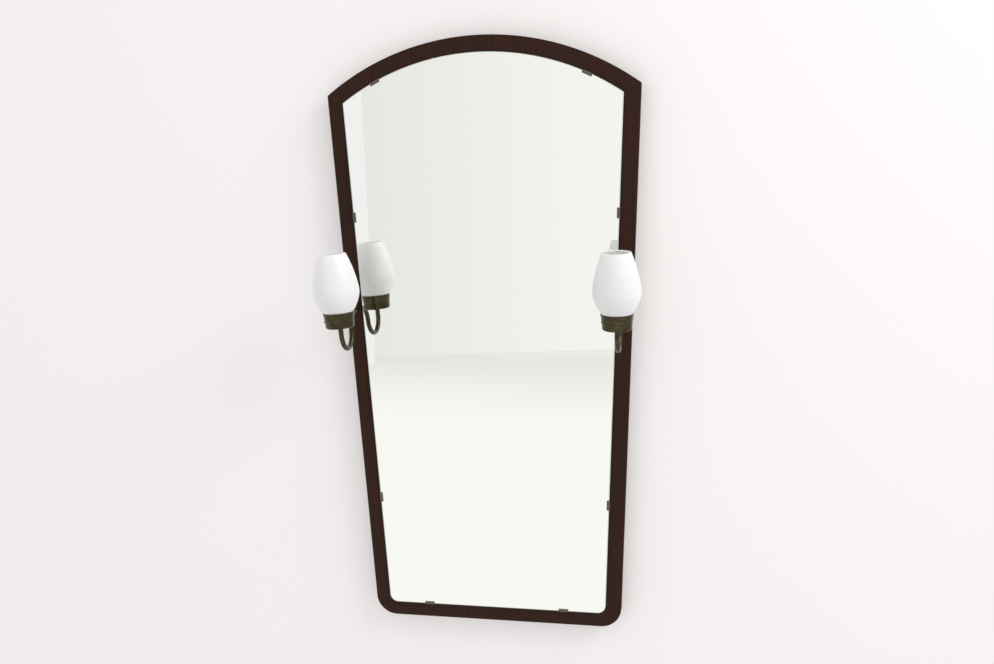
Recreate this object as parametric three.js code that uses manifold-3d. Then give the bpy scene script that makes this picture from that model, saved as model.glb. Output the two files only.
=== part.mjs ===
// Girandole mirror: a veneered board carries a bevelled mirror pane in eight spring clips,
// with a lamp on a swan-neck arm at each side, and hangs on two keyhole plates.
// Millimetres, +Z up. The front faces -Y and the wall is the plane Y = 0. Heights run from the
// board's bottom edge; the last lines bring the origin to the middle of the upper batten's back.
import * as THREE from 'three';
import { mergeVertices } from 'three/addons/utils/BufferGeometryUtils.js';
import Module from 'manifold-3d';

const wasm = await Module();
wasm.setup();

// ---------------------------------------------------------------- driving dimensions
// Clearances
const seatGap = 0.3;
const holeClearance = 0.5;
const cutOvershoot = 1;

// Board
const boardHeight = 1120;
const archRise = 95;
const shoulderWidth = 577;
const baseWidth = 488;
const boardCornerRadius = 40;
const boardThickness = 16;
const boardEdgeEasing = 1;

// Mirror pane
const borderWidth = 30;
const paneThickness = 4;
const paneCornerRadius = 16;
const paneBevelWidth = 4;
const paneBevelDepth = 1;

// Clips and their screws
const clipWidth = 19;
const clipThickness = 1;
const clipReach = 4.5;
const clipFootLength = 15;
const clipCornerRadius = 3;
const archClipInset = 93.5;
const upperClipDrop = 225;
const lowerClipHeight = 250;
const bottomClipInset = 110;

// Countersunk wood screws
const screwHeadRadius = 3.5;
const screwShankRadius = 1.6;
const screwHeadDepth = 1.9;
const screwTipLength = 3;
const clipScrewLength = 13;
const battenScrewLength = 25;
const hangerScrewLength = 11;

// Battens on the back
const battenThickness = 14;
const battenWidth = 60;
const battenSideMargin = 50;
const upperBattenDrop = 95;
const lowerBattenHeight = 110;
const battenScrewInset = 25;

// Keyhole hanging plates
const hangerSpacing = 240;
const hangerLength = 46;
const hangerWidth = 16;
const hangerThickness = 2;
const hangerScrewOffset = 17.5;
const keyholeRadius = 4.8;
const keySlotWidth = 5.4;
const keySlotLength = 9;
const keyPocketDepth = 8;
const keyPocketMargin = 1.5;

// Terminal block
const blockLength = 30;
const blockWidth = 18;
const blockDepth = 11;
const poleSpacing = 9;
const poleBoreRadius = 1.8;
const clampWellRadius = 2;
const clampWellDepth = 4.5;
const clampWellInset = 6;
const blockScrewLength = 19;

// Swan-neck arms
const armToPane = 9.7;
const armRootDrop = 400;
const armRadius = 4.5;
const armWall = 1.2;
const armRootReach = 25.6;
const armBendRadius = 29.6;
const armStraightUnderCup = 14.5;
const armEndInCup = 9;
const leftArmTurn = 3.6;
const leftArmSwing = 1.5;
const leftCupLean = 0.3;
const rightArmTurn = 0;
const rightArmSwing = 0;
const rightCupLean = 3.1;
const armThreadStandOut = 2;

// Collar, washer and nuts on the arm
const collarRadius = 6.5;
const collarLength = 4;
const collarNoseRadius = 1.2;
const washerRadius = 9;
const washerThickness = 1.5;
const nutAcrossFlats = 14;
const nutThickness = 5;
const cupNutThickness = 4;

// Gallery cup
const cupBaseRadius = 26;
const cupRimRadius = 28.5;
const cupHeight = 28.1;
const cupWall = 1.2;
const cupEdgeRadius = 3;
const cupFlarePower = 1.5;
const galleryScrewHeight = 12;
const galleryScrewRadius = 1.5;
const galleryScrewHeadRadius = 2.6;
const galleryScrewHeadLength = 4;
const galleryScrewHeadEasing = 0.7;
const galleryScrewCount = 3;
const leftGalleryScrewTurn = 38;
const rightGalleryScrewTurn = 21;

// Opal shade
const shadeRadius = 42.2;
const shadeWidestHeight = 65.5;
const shadeTopHeight = 133.6;
const shadeTopRadius = 25.3;
const shadeWall = 2.2;
const shadeNeckRadius = 21.5;
const shadeLowerPower = 1.75;
const shadeUpperPower = 1.55;

// Lampholder and bulb
const holderRadius = 12.5;
const holderHeight = 36;
const holderBaseThickness = 6;
const holderChamberHeight = 9;
const holderLedge = 1;
const holderEasing = 1;
const threadShellRadius = 7.8;
const threadShellWall = 0.6;
const contactRadius = 3;
const contactLength = 2;
const bulbCapTaper = 2;
const bulbCapRise = 1;
const bulbFlangeRadius = 8.6;
const bulbFlangeHeight = 2;
const bulbRadius = 17.5;
const bulbWidestHeight = 26;
const bulbLength = 72;
const bulbWall = 0.9;
const bulbTaperPower = 1.8;
const bulbTipPower = 0.8;

// Facets
const archSteps = 28;
const cornerSteps = 5;
const armSteps = 32;
const armSides = 10;
const armBoreSides = 6;
const ringSides = 16;
const screwSides = 8;
const thumbScrewSides = 6;
const shadeSides = 26;
const shadeLowerSteps = 6;
const shadeUpperSteps = 5;
const shadeLiningSteps = 4;
const cupSides = 26;
const cupWallSteps = 4;
const holderSides = 16;
const bulbLowerSteps = 3;
const bulbUpperSteps = 5;
const smallArcSteps = 3;
const roundEndSteps = 5;
const keyholeSteps = 10;

// ---------------------------------------------------------------- derived places
const battenBackY = 0;
const battenFrontY = battenBackY - battenThickness;
const boardBackY = battenFrontY - seatGap;
const boardFrontY = boardBackY - boardThickness;
const clipFootBackY = boardFrontY - seatGap;
const clipFootFrontY = clipFootBackY - clipThickness;
const paneBackY = clipFootFrontY - seatGap;
const paneFrontY = paneBackY - paneThickness;
const clipTabBackY = paneFrontY - seatGap;
const clipTabFrontY = clipTabBackY - clipThickness;
const armHoleRadius = armRadius + holeClearance;
const shoulderHeight = boardHeight - archRise;
const upperBattenHeight = shoulderHeight - upperBattenDrop;
const upperClipHeight = shoulderHeight - upperClipDrop;
const archClipOffset = shoulderWidth / 2 - archClipInset;
const bottomClipOffset = baseWidth / 2 - bottomClipInset;
const armRootHeight = shoulderHeight - armRootDrop;
const blockHeight = armRootHeight;

// ---------------------------------------------------------------- materials
const veneer = new THREE.MeshStandardMaterial({ color: 0x35231e, roughness: 0.45 });
const plainWood = new THREE.MeshStandardMaterial({ color: 0xb28a5c, roughness: 0.8 });
const mirrorGlass = new THREE.MeshStandardMaterial({ color: 0xe9ecea, roughness: 0.03, metalness: 1 });
const nickel = new THREE.MeshStandardMaterial({ color: 0x9c9890, roughness: 0.35, metalness: 1 });
const steel = new THREE.MeshStandardMaterial({ color: 0xa8a49b, roughness: 0.4, metalness: 1 });
const agedBrass = new THREE.MeshStandardMaterial({ color: 0x544a30, roughness: 0.42, metalness: 1 });
const cleanBrass = new THREE.MeshStandardMaterial({ color: 0xb5934f, roughness: 0.35, metalness: 1 });
const opalGlass = new THREE.MeshStandardMaterial({ color: 0xf4f2ef, roughness: 0.3 });
const bulbGlass = new THREE.MeshStandardMaterial({ color: 0xf0efe9, roughness: 0.25 });
const blackResin = new THREE.MeshStandardMaterial({ color: 0x211c19, roughness: 0.35 });
const creamResin = new THREE.MeshStandardMaterial({ color: 0xd9d1bd, roughness: 0.5 });

const mirror = new THREE.Group();

// ---------------------------------------------------------------- solids from geometry
// A closed geometry with its shared corners merged and its collapsed triangles dropped.
function solidOf(geometry) {
  const bare = geometry.clone();
  bare.deleteAttribute('normal');
  bare.deleteAttribute('uv');
  const merged = mergeVertices(bare, 1e-4);
  const corners = Array.from(merged.index.array);
  const kept = [];
  for (let i = 0; i < corners.length; i += 3) {
    const [a, b, c] = corners.slice(i, i + 3);
    if (a !== b && b !== c && c !== a) kept.push(a, b, c);
  }
  return new wasm.Manifold(new wasm.Mesh({
    numProp: 3,
    vertProperties: Float32Array.from(merged.attributes.position.array),
    triVerts: Uint32Array.from(kept),
  }));
}

// The triangles of a solid, with flat faces.
function geometryOf(solid) {
  const mesh = solid.getMesh();
  const geometry = new THREE.BufferGeometry();
  geometry.setAttribute('position', new THREE.BufferAttribute(mesh.vertProperties, 3));
  geometry.setIndex(new THREE.BufferAttribute(mesh.triVerts, 1));
  return geometry;
}

function cut(solid, tools) {
  return tools.reduce((rest, tool) => rest.subtract(tool), solid);
}

function join(solids) {
  return solids.reduce((sum, solid) => sum.add(solid));
}

// A named piece in a group.
function addPiece(group, name, solid, material) {
  const piece = new THREE.Mesh(geometryOf(solid), material.clone());
  piece.name = name;
  group.add(piece);
  return piece;
}

// ---------------------------------------------------------------- geometry of plain forms
function pointsOnArc(centreX, centreY, radius, from, to, steps) {
  const points = [];
  for (let i = 0; i <= steps; i += 1) {
    const angle = from + (to - from) * (i / steps);
    points.push(new THREE.Vector2(centreX + radius * Math.cos(angle), centreY + radius * Math.sin(angle)));
  }
  return points;
}

// A small rounding for a turned profile, from one number of quarter turns to another.
function arcProfile(centreRadius, centreHeight, radius, fromQuarter, toQuarter) {
  const [from, to] = [(fromQuarter * Math.PI) / 2, (toQuarter * Math.PI) / 2];
  const points = pointsOnArc(centreRadius, centreHeight, radius, from, to, smallArcSteps);
  return points.map((point) => [point.x, point.y]);
}

// A turned form about Z from a profile of [radius, height] points.
function turned(profile, sides) {
  const points = profile.map(([radius, height]) => new THREE.Vector2(radius, height));
  return new THREE.LatheGeometry(points, sides).rotateX(Math.PI / 2);
}

// The same with its axis along Y and the profile's heights running towards -Y, to the front.
function turnedForward(profile, sides) {
  return turned(profile, sides).rotateX(Math.PI / 2);
}

// A flat outline in X and Z given thickness along Y, from backY forwards.
function plate(shape, backY, thickness) {
  const options = { depth: thickness, bevelEnabled: false, curveSegments: smallArcSteps };
  return new THREE.ExtrudeGeometry(shape, options).rotateX(Math.PI / 2).translate(0, backY, 0);
}

// A box between two corners.
function block(low, high) {
  const size = high.map((value, axis) => value - low[axis]);
  const middle = high.map((value, axis) => (value + low[axis]) / 2);
  return new THREE.BoxGeometry(...size).translate(...middle);
}

// Like outlines at different depths, skinned one to the next and capped. Back ring first.
function stacked(rings) {
  const count = rings[0].outline.length;
  const positions = rings.flatMap(({ outline, y }) => outline.flatMap((point) => [point.x, y, point.y]));
  const faces = [];
  for (let ring = 0; ring + 1 < rings.length; ring += 1) {
    for (let i = 0; i < count; i += 1) {
      const next = (i + 1) % count;
      const [backA, backB] = [ring * count + i, ring * count + next];
      const [frontA, frontB] = [backA + count, backB + count];
      faces.push(frontA, backA, backB, frontA, backB, frontB);
    }
  }
  const last = (rings.length - 1) * count;
  for (const [a, b, c] of THREE.ShapeUtils.triangulateShape(rings[0].outline, [])) {
    faces.push(c, b, a);
    faces.push(last + a, last + b, last + c);
  }
  const geometry = new THREE.BufferGeometry();
  geometry.setAttribute('position', new THREE.Float32BufferAttribute(positions, 3));
  geometry.setIndex(faces);
  return geometry;
}

// A countersunk wood screw with its head's face at the origin and its point towards -Z. Grown
// for its hole, it runs on past the face.
function woodScrewProfile(length, grown = 0) {
  const shank = screwShankRadius + grown;
  const head = screwHeadRadius + grown;
  const mouth = grown > 0 ? [[head, cutOvershoot], [0, cutOvershoot]] : [[0, 0]];
  return [
    [0, -length - grown],
    [shank, -length - grown + screwTipLength],
    [shank, -screwHeadDepth],
    [head, 0],
    ...mouth,
  ];
}

// ---------------------------------------------------------------- the tapered arch outline
const sideRun = (shoulderWidth - baseWidth) / 2;
const sideLength = Math.hypot(sideRun, shoulderHeight);
const sideSlope = Math.atan2(sideRun, shoulderHeight);
const archRadius = ((shoulderWidth / 2) ** 2 + archRise ** 2) / (2 * archRise);
const archCentreHeight = boardHeight - archRadius;

// Half the width of the outline, drawn in by inset, at a height on its straight side.
function halfWidthAt(height, inset) {
  return baseWidth / 2 + (sideRun * height) / shoulderHeight - inset / Math.cos(sideSlope);
}

// The arms stand in the border, beside the pane.
const armOffset = halfWidthAt(armRootHeight, borderWidth - armToPane);

// The outline drawn in by inset, anticlockwise as seen from the front.
function taperedArch(inset, cornerRadius) {
  const radius = archRadius - inset;
  const startX = halfWidthAt(0, inset);
  const [runX, runZ] = [sideRun / sideLength, shoulderHeight / sideLength];
  const along = startX * runX - archCentreHeight * runZ;
  const offset = startX ** 2 + archCentreHeight ** 2 - radius ** 2;
  const reach = -along + Math.sqrt(along ** 2 - offset);
  const shoulder = Math.atan2(reach * runZ - archCentreHeight, startX + reach * runX);
  const cornerHeight = inset + cornerRadius;
  const cornerX = halfWidthAt(cornerHeight, inset + cornerRadius);
  const right = pointsOnArc(cornerX, cornerHeight, cornerRadius, -Math.PI / 2, -sideSlope, cornerSteps);
  const arch = pointsOnArc(0, archCentreHeight, radius, shoulder, Math.PI - shoulder, archSteps);
  const left = right.map((point) => new THREE.Vector2(-point.x, point.y)).reverse();
  return [...right, ...arch, ...left];
}

// ---------------------------------------------------------------- places of the clips
// Each place is on the pane's edge, with the turn that points the clip outwards.
function sideClipPlace(name, side, height) {
  const x = side * halfWidthAt(height, borderWidth);
  return { name, x, z: height, turn: side * (Math.PI / 2 + sideSlope) };
}

function archClipPlace(name, side) {
  const radius = archRadius - borderWidth;
  const turn = Math.asin(archClipOffset / radius);
  const z = archCentreHeight + radius * Math.cos(turn);
  return { name, x: side * archClipOffset, z, turn: side * turn };
}

function bottomClipPlace(name, side) {
  return { name, x: side * bottomClipOffset, z: borderWidth, turn: Math.PI };
}

const clipPlaces = [
  archClipPlace('clip_arch_left', -1),
  archClipPlace('clip_arch_right', 1),
  sideClipPlace('clip_upper_left', -1, upperClipHeight),
  sideClipPlace('clip_upper_right', 1, upperClipHeight),
  sideClipPlace('clip_lower_left', -1, lowerClipHeight),
  sideClipPlace('clip_lower_right', 1, lowerClipHeight),
  bottomClipPlace('clip_bottom_left', -1),
  bottomClipPlace('clip_bottom_right', 1),
];

// Moves a geometry made at a clip (edge along X, outwards +Z) to the clip's place.
function atClip(geometry, place) {
  return geometry.rotateY(place.turn).translate(place.x, 0, place.z);
}

// ---------------------------------------------------------------- screws and their holes
// Profile heights run forward, so the head's face looks to the front or, turned, to the back.
function frontScrew(x, faceY, z, length, grown = 0) {
  return turnedForward(woodScrewProfile(length, grown), screwSides).translate(x, faceY, z);
}

function backScrew(x, faceY, z, length, grown = 0) {
  return turnedForward(woodScrewProfile(length, grown), screwSides).rotateZ(Math.PI).translate(x, faceY, z);
}

function clipScrew(place, grown) {
  return solidOf(atClip(frontScrew(0, clipFootFrontY, -clipFootLength / 2, clipScrewLength, grown), place));
}

function battenScrewPlace(name, side, height) {
  return { name, x: side * (halfWidthAt(height, battenSideMargin) - battenScrewInset), z: height };
}

const battenScrewPlaces = [
  battenScrewPlace('upper_batten_screw_left', -1, upperBattenHeight),
  battenScrewPlace('upper_batten_screw_right', 1, upperBattenHeight),
  battenScrewPlace('lower_batten_screw_left', -1, lowerBattenHeight),
  battenScrewPlace('lower_batten_screw_right', 1, lowerBattenHeight),
];

function battenScrew({ x, z }, grown) {
  return solidOf(backScrew(x, battenBackY, z, battenScrewLength, grown));
}

const hangerPlaces = [
  { name: 'hanger_left', x: -hangerSpacing / 2 },
  { name: 'hanger_right', x: hangerSpacing / 2 },
];

const hangerScrewPlaces = hangerPlaces.flatMap(({ name, x }) => [
  { name: `${name}_screw_top`, x, z: upperBattenHeight + hangerScrewOffset },
  { name: `${name}_screw_bottom`, x, z: upperBattenHeight - hangerScrewOffset },
]);

function hangerScrew({ x, z }, grown) {
  return solidOf(backScrew(x, battenBackY, z, hangerScrewLength, grown));
}

const blockBackY = boardBackY + seatGap + blockDepth;

function blockScrew(grown) {
  return solidOf(backScrew(0, blockBackY, blockHeight, blockScrewLength, grown));
}

// ---------------------------------------------------------------- board and battens
function makeBoard() {
  const full = taperedArch(0, boardCornerRadius);
  const eased = taperedArch(boardEdgeEasing, boardCornerRadius - boardEdgeEasing);
  const body = solidOf(stacked([
    { outline: eased, y: boardBackY },
    { outline: full, y: boardBackY - boardEdgeEasing },
    { outline: full, y: boardFrontY + boardEdgeEasing },
    { outline: eased, y: boardFrontY },
  ]));
  const armHoles = [-1, 1].map((side) => solidOf(
    new THREE.CylinderGeometry(armHoleRadius, armHoleRadius, boardThickness + 2 * cutOvershoot, armSides)
      .translate(side * armOffset, (boardBackY + boardFrontY) / 2, armRootHeight),
  ));
  const pilots = [
    ...clipPlaces.map((place) => clipScrew(place, seatGap)),
    ...battenScrewPlaces.map((place) => battenScrew(place, seatGap)),
    blockScrew(seatGap),
  ];
  addPiece(mirror, 'back_board', cut(body, [...armHoles, ...pilots]), veneer);
}

function batten(height) {
  const half = halfWidthAt(height, battenSideMargin);
  return solidOf(block(
    [-half, battenFrontY, height - battenWidth / 2],
    [half, battenBackY, height + battenWidth / 2],
  ));
}

// The keyhole's outline: a round hole below, with a narrower slot running up from it.
function keyholeShape(margin) {
  const shape = new THREE.Shape();
  const radius = keyholeRadius + margin;
  const half = keySlotWidth / 2 + margin;
  const shoulder = Math.acos(half / radius);
  const drop = keySlotLength / 2;
  const hole = pointsOnArc(0, -drop, radius, Math.PI - shoulder, 2 * Math.PI + shoulder, keyholeSteps);
  const slotEnd = pointsOnArc(0, drop, half, 0, Math.PI, roundEndSteps);
  return shape.setFromPoints([...hole, ...slotEnd]);
}

// The hanging plate's outline: round-ended, and grown by margin for its seat.
function hangerShape(margin) {
  const straight = (hangerLength - hangerWidth) / 2;
  const radius = hangerWidth / 2 + margin;
  const foot = pointsOnArc(0, -straight, radius, Math.PI, 2 * Math.PI, roundEndSteps);
  const head = pointsOnArc(0, straight, radius, 0, Math.PI, roundEndSteps);
  return new THREE.Shape([...foot, ...head]);
}

function makeUpperBatten() {
  const seatDepth = hangerThickness + seatGap;
  const seats = hangerPlaces.map(({ x }) => solidOf(
    plate(hangerShape(seatGap), battenBackY + cutOvershoot, cutOvershoot + seatDepth)
      .translate(x, 0, upperBattenHeight),
  ));
  const pockets = hangerPlaces.map(({ x }) => solidOf(
    plate(keyholeShape(keyPocketMargin), battenBackY, keyPocketDepth + hangerThickness)
      .translate(x, 0, upperBattenHeight),
  ));
  const screws = [
    ...battenScrewPlaces.map((place) => battenScrew(place, seatGap)),
    ...hangerScrewPlaces.map((place) => hangerScrew(place, seatGap)),
  ];
  const body = cut(batten(upperBattenHeight), [...seats, ...pockets, ...screws]);
  addPiece(mirror, 'upper_batten', body, plainWood);
}

function makeLowerBatten() {
  const screws = battenScrewPlaces.map((place) => battenScrew(place, seatGap));
  addPiece(mirror, 'lower_batten', cut(batten(lowerBattenHeight), screws), plainWood);
}

function makeHangers() {
  for (const { name, x } of hangerPlaces) {
    const body = solidOf(
      plate(hangerShape(0), battenBackY, hangerThickness).translate(x, 0, upperBattenHeight),
    );
    const keyhole = solidOf(
      plate(keyholeShape(0), battenBackY + cutOvershoot, hangerThickness + 2 * cutOvershoot)
        .translate(x, 0, upperBattenHeight),
    );
    const screws = hangerScrewPlaces.map((place) => hangerScrew(place, seatGap));
    addPiece(mirror, name, cut(body, [keyhole, ...screws]), steel);
  }
}

function makeBackScrews() {
  battenScrewPlaces.forEach((place) => addPiece(mirror, place.name, battenScrew(place, 0), steel));
  hangerScrewPlaces.forEach((place) => addPiece(mirror, place.name, hangerScrew(place, 0), steel));
}

makeBoard();
makeUpperBatten();
makeLowerBatten();
makeHangers();
makeBackScrews();

// ---------------------------------------------------------------- mirror pane
function makePane() {
  const edge = taperedArch(borderWidth, paneCornerRadius);
  const face = taperedArch(borderWidth + paneBevelWidth, paneCornerRadius - paneBevelWidth);
  const pane = solidOf(stacked([
    { outline: edge, y: paneBackY },
    { outline: edge, y: paneFrontY + paneBevelDepth },
    { outline: face, y: paneFrontY },
  ]));
  addPiece(mirror, 'mirror_pane', pane, mirrorGlass);
}

// ---------------------------------------------------------------- clips
// A strip bent twice: a foot behind the pane, a riser past its edge and a tab over its face.
function clipSolid(place) {
  const half = clipWidth / 2;
  const riserIn = seatGap;
  const riserOut = seatGap + clipThickness;
  const tab = new THREE.Shape();
  const inner = clipCornerRadius - clipReach;
  tab.moveTo(half, riserOut);
  tab.lineTo(-half, riserOut);
  tab.lineTo(-half, inner);
  tab.absarc(clipCornerRadius - half, inner, clipCornerRadius, Math.PI, 1.5 * Math.PI, false);
  tab.absarc(half - clipCornerRadius, inner, clipCornerRadius, 1.5 * Math.PI, 2 * Math.PI, false);
  const foot = block([-half, clipFootFrontY, -clipFootLength], [half, clipFootBackY, riserOut]);
  const riser = block([-half, clipTabFrontY, riserIn], [half, clipFootBackY, riserOut]);
  return join([
    solidOf(atClip(plate(tab, clipTabBackY, clipThickness), place)),
    solidOf(atClip(foot, place)),
    solidOf(atClip(riser, place)),
  ]);
}

function makeClips() {
  for (const place of clipPlaces) {
    addPiece(mirror, place.name, cut(clipSolid(place), [clipScrew(place, seatGap)]), nickel);
    addPiece(mirror, `${place.name}_screw`, clipScrew(place, 0), steel);
  }
}

makePane();
makeClips();

// ---------------------------------------------------------------- terminal block
const poles = [-poleSpacing / 2, poleSpacing / 2];
const clampPlaces = poles.flatMap((height) => (
  [-1, 1].map((side) => [side * (blockLength / 2 - clampWellInset), blockHeight + height])
));

function clampWell([x, height]) {
  const well = new THREE.CylinderGeometry(clampWellRadius, clampWellRadius, 2 * clampWellDepth, screwSides);
  return solidOf(well.translate(x, blockBackY, height));
}

function makeTerminalBlock() {
  const body = solidOf(block(
    [-blockLength / 2, boardBackY + seatGap, blockHeight - blockWidth / 2],
    [blockLength / 2, blockBackY, blockHeight + blockWidth / 2],
  ));
  const boreY = blockBackY - clampWellDepth - poleBoreRadius / 2;
  const bores = poles.map((height) => solidOf(
    new THREE.CylinderGeometry(poleBoreRadius, poleBoreRadius, blockLength + 2 * cutOvershoot, screwSides)
      .rotateZ(Math.PI / 2).translate(0, boreY, blockHeight + height),
  ));
  const wells = clampPlaces.map((place) => clampWell(place));
  addPiece(mirror, 'terminal_block', cut(body, [...bores, ...wells, blockScrew(seatGap)]), creamResin);
  addPiece(mirror, 'terminal_block_screw', blockScrew(0), steel);
}

makeTerminalBlock();

// ---------------------------------------------------------------- arms
// The line of the tube in its own plane: forward from the board's face, height from the root.
// Past the straight run at the root, that plane may swing a little towards the pane.
class SwanNeck extends THREE.Curve {
  constructor(lean, swing) {
    super();
    this.back = boardThickness + 2 * seatGap + washerThickness + nutThickness + armThreadStandOut + seatGap;
    this.runs = [
      this.back + armRootReach,
      (armBendRadius * Math.PI) / 2,
      armBendRadius * (Math.PI - lean),
      armStraightUnderCup + armEndInCup,
    ];
    this.lean = lean;
    this.swing = swing;
  }

  wholeRun() {
    return this.runs.reduce((sum, run) => sum + run, 0);
  }

  // The point at a distance along the line, as [forward, height].
  at(distance) {
    const [root, first, second] = this.runs;
    const radius = armBendRadius;
    if (distance <= root) return [distance - this.back, 0];
    if (distance <= root + first) {
      const angle = (distance - root) / radius;
      return [armRootReach + radius * Math.sin(angle), radius * (Math.cos(angle) - 1)];
    }
    if (distance <= root + first + second) {
      const angle = (distance - root - first) / radius;
      return [armRootReach + radius * (2 - Math.cos(angle)), -radius * (1 + Math.sin(angle))];
    }
    const rest = distance - root - first - second;
    return [
      armRootReach + radius * (2 + Math.cos(this.lean)) + rest * Math.sin(this.lean),
      -radius * (1 + Math.sin(this.lean)) + rest * Math.cos(this.lean),
    ];
  }

  pointAtDistance(distance, target = new THREE.Vector3()) {
    const [forward, height] = this.at(distance);
    const swung = Math.max(0, forward - armRootReach);
    const straight = forward - swung;
    return target.set(swung * Math.sin(this.swing), -straight - swung * Math.cos(this.swing), height);
  }

  getPoint(t, target) {
    return this.pointAtDistance(t * this.wholeRun(), target);
  }

  cupFoot() {
    return this.pointAtDistance(this.wholeRun() - armEndInCup);
  }
}

function ringShape(outer, outerSides, bore, boreSides) {
  const shape = new THREE.Shape(pointsOnArc(0, 0, outer, 0, 2 * Math.PI, outerSides).slice(1));
  shape.holes.push(new THREE.Path(pointsOnArc(0, 0, bore, 0, 2 * Math.PI, boreSides).slice(1)));
  return shape;
}

// A ring with a clearance hole for the arm, standing from Z = 0 upwards.
function armRing(outer, sides, thickness) {
  const shape = ringShape(outer, sides, armRadius + seatGap, armSides);
  return new THREE.ExtrudeGeometry(shape, { depth: thickness, bevelEnabled: false });
}

function hexagonNut(thickness) {
  return armRing(nutAcrossFlats / 2 / Math.cos(Math.PI / 6), 6, thickness);
}

function makeArm(group, side, swanNeck) {
  const section = ringShape(armRadius, armSides, armRadius - armWall, armBoreSides);
  const tube = new THREE.ExtrudeGeometry(section, { steps: armSteps, extrudePath: swanNeck });
  addPiece(group, `${side}_arm`, solidOf(tube), agedBrass);

  const bore = armRadius + seatGap;
  const noseFoot = collarLength - collarNoseRadius;
  const nose = arcProfile(collarRadius - collarNoseRadius, noseFoot, collarNoseRadius, 0, 1);
  const collarProfile = [[bore, 0], [collarRadius, 0], ...nose, [bore, collarLength], [bore, 0]];
  const collar = turnedForward(collarProfile, ringSides).translate(0, -seatGap, 0);
  addPiece(group, `${side}_arm_collar`, solidOf(collar), agedBrass);

  const washerFrontY = boardThickness + seatGap;
  const washer = armRing(washerRadius, ringSides, washerThickness)
    .rotateX(Math.PI / 2).translate(0, washerFrontY + washerThickness, 0);
  addPiece(group, `${side}_arm_washer`, solidOf(washer), steel);

  const nut = hexagonNut(nutThickness)
    .rotateX(Math.PI / 2).translate(0, washerFrontY + washerThickness + seatGap + nutThickness, 0);
  addPiece(group, `${side}_arm_nut`, solidOf(nut), cleanBrass);
}

// ---------------------------------------------------------------- gallery cup
// Heights from here on run up the cup's own axis from its underside.
function cupOuterRadius(height) {
  const share = Math.max(0, (height - cupEdgeRadius) / (cupHeight - cupEdgeRadius));
  return cupBaseRadius + (cupRimRadius - cupBaseRadius) * share ** cupFlarePower;
}

function cupProfile() {
  const bore = armRadius + seatGap;
  const outer = [];
  for (let i = 0; i <= cupWallSteps; i += 1) {
    const height = cupEdgeRadius + ((cupHeight - cupEdgeRadius) * i) / cupWallSteps;
    outer.push([cupOuterRadius(height), height]);
  }
  const inner = outer.map(([radius, height]) => [radius - cupWall, height]).reverse();
  const flat = cupBaseRadius - cupEdgeRadius;
  const edge = arcProfile(flat, cupEdgeRadius, cupEdgeRadius, -1, 0).slice(0, -1);
  return [[bore, 0], ...edge, ...outer, ...inner, [flat, cupWall], [bore, cupWall], [bore, 0]];
}

function galleryScrew(turn, grown) {
  const tip = shadeNeckRadius + seatGap;
  const headBase = cupOuterRadius(galleryScrewHeight) + seatGap;
  const shank = galleryScrewRadius + grown;
  const headEnd = headBase + galleryScrewHeadLength;
  const profile = [
    [0, tip - grown],
    [shank, tip - grown],
    [shank, headBase],
    [galleryScrewHeadRadius, headBase],
    [galleryScrewHeadRadius, headEnd - galleryScrewHeadEasing],
    [galleryScrewHeadRadius - galleryScrewHeadEasing, headEnd],
    [0, headEnd],
  ];
  return solidOf(turnedForward(profile, thumbScrewSides)
    .rotateZ(THREE.MathUtils.degToRad(turn)).translate(0, 0, galleryScrewHeight));
}

function makeCup(group, side, screwTurn) {
  const step = 360 / galleryScrewCount;
  const turns = Array.from({ length: galleryScrewCount }, (_, i) => screwTurn + i * step);
  const holes = turns.map((turn) => galleryScrew(turn, seatGap));
  addPiece(group, `${side}_cup`, cut(solidOf(turned(cupProfile(), cupSides)), holes), agedBrass);
  turns.forEach((turn, i) => {
    addPiece(group, `${side}_gallery_screw_${i + 1}`, galleryScrew(turn, 0), agedBrass);
  });
  const nut = hexagonNut(cupNutThickness).translate(0, 0, cupWall + seatGap);
  addPiece(group, `${side}_cup_nut`, solidOf(nut), cleanBrass);
}

// ---------------------------------------------------------------- opal shade
// From the seat in the cup's rim the glass swells to its widest and draws in to the open top.
function shadeOuterRadius(height) {
  if (height >= shadeWidestHeight) {
    const share = (height - shadeWidestHeight) / (shadeTopHeight - shadeWidestHeight);
    return shadeRadius - (shadeRadius - shadeTopRadius) * share ** shadeUpperPower;
  }
  const seatRadius = cupRimRadius - cupWall - seatGap;
  const share = (shadeWidestHeight - height) / (shadeWidestHeight - cupHeight);
  return shadeRadius - (shadeRadius - seatRadius) * share ** shadeLowerPower;
}

// Points up the bulge, drawn in by inset, with a number of steps below and above its widest.
function shadeBulge(inset, lowerSteps, upperSteps) {
  const heights = [];
  for (let i = 0; i < lowerSteps; i += 1) {
    heights.push(cupHeight + ((shadeWidestHeight - cupHeight) * i) / lowerSteps);
  }
  for (let i = 0; i <= upperSteps; i += 1) {
    heights.push(shadeWidestHeight + ((shadeTopHeight - shadeWidestHeight) * i) / upperSteps);
  }
  return heights.map((height) => [shadeOuterRadius(height) - inset, height]);
}

function shadeProfile() {
  const neckFoot = cupWall + seatGap;
  const neckTop = cupHeight - (cupRimRadius - cupWall - seatGap - shadeNeckRadius);
  const skin = shadeBulge(0, shadeLowerSteps, shadeUpperSteps);
  const lining = shadeBulge(shadeWall, shadeLiningSteps, shadeLiningSteps).slice(1).reverse();
  const bore = shadeNeckRadius - shadeWall;
  const footEasing = shadeWall / 2;
  return [
    [bore, neckFoot],
    [shadeNeckRadius - footEasing, neckFoot],
    [shadeNeckRadius, neckFoot + footEasing],
    [shadeNeckRadius, neckTop],
    ...skin,
    ...lining,
    [bore, neckTop + shadeWall],
    [bore, neckFoot],
  ];
}

function makeShade(group, side) {
  addPiece(group, `${side}_shade`, solidOf(turned(shadeProfile(), shadeSides)), opalGlass);
}

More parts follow.
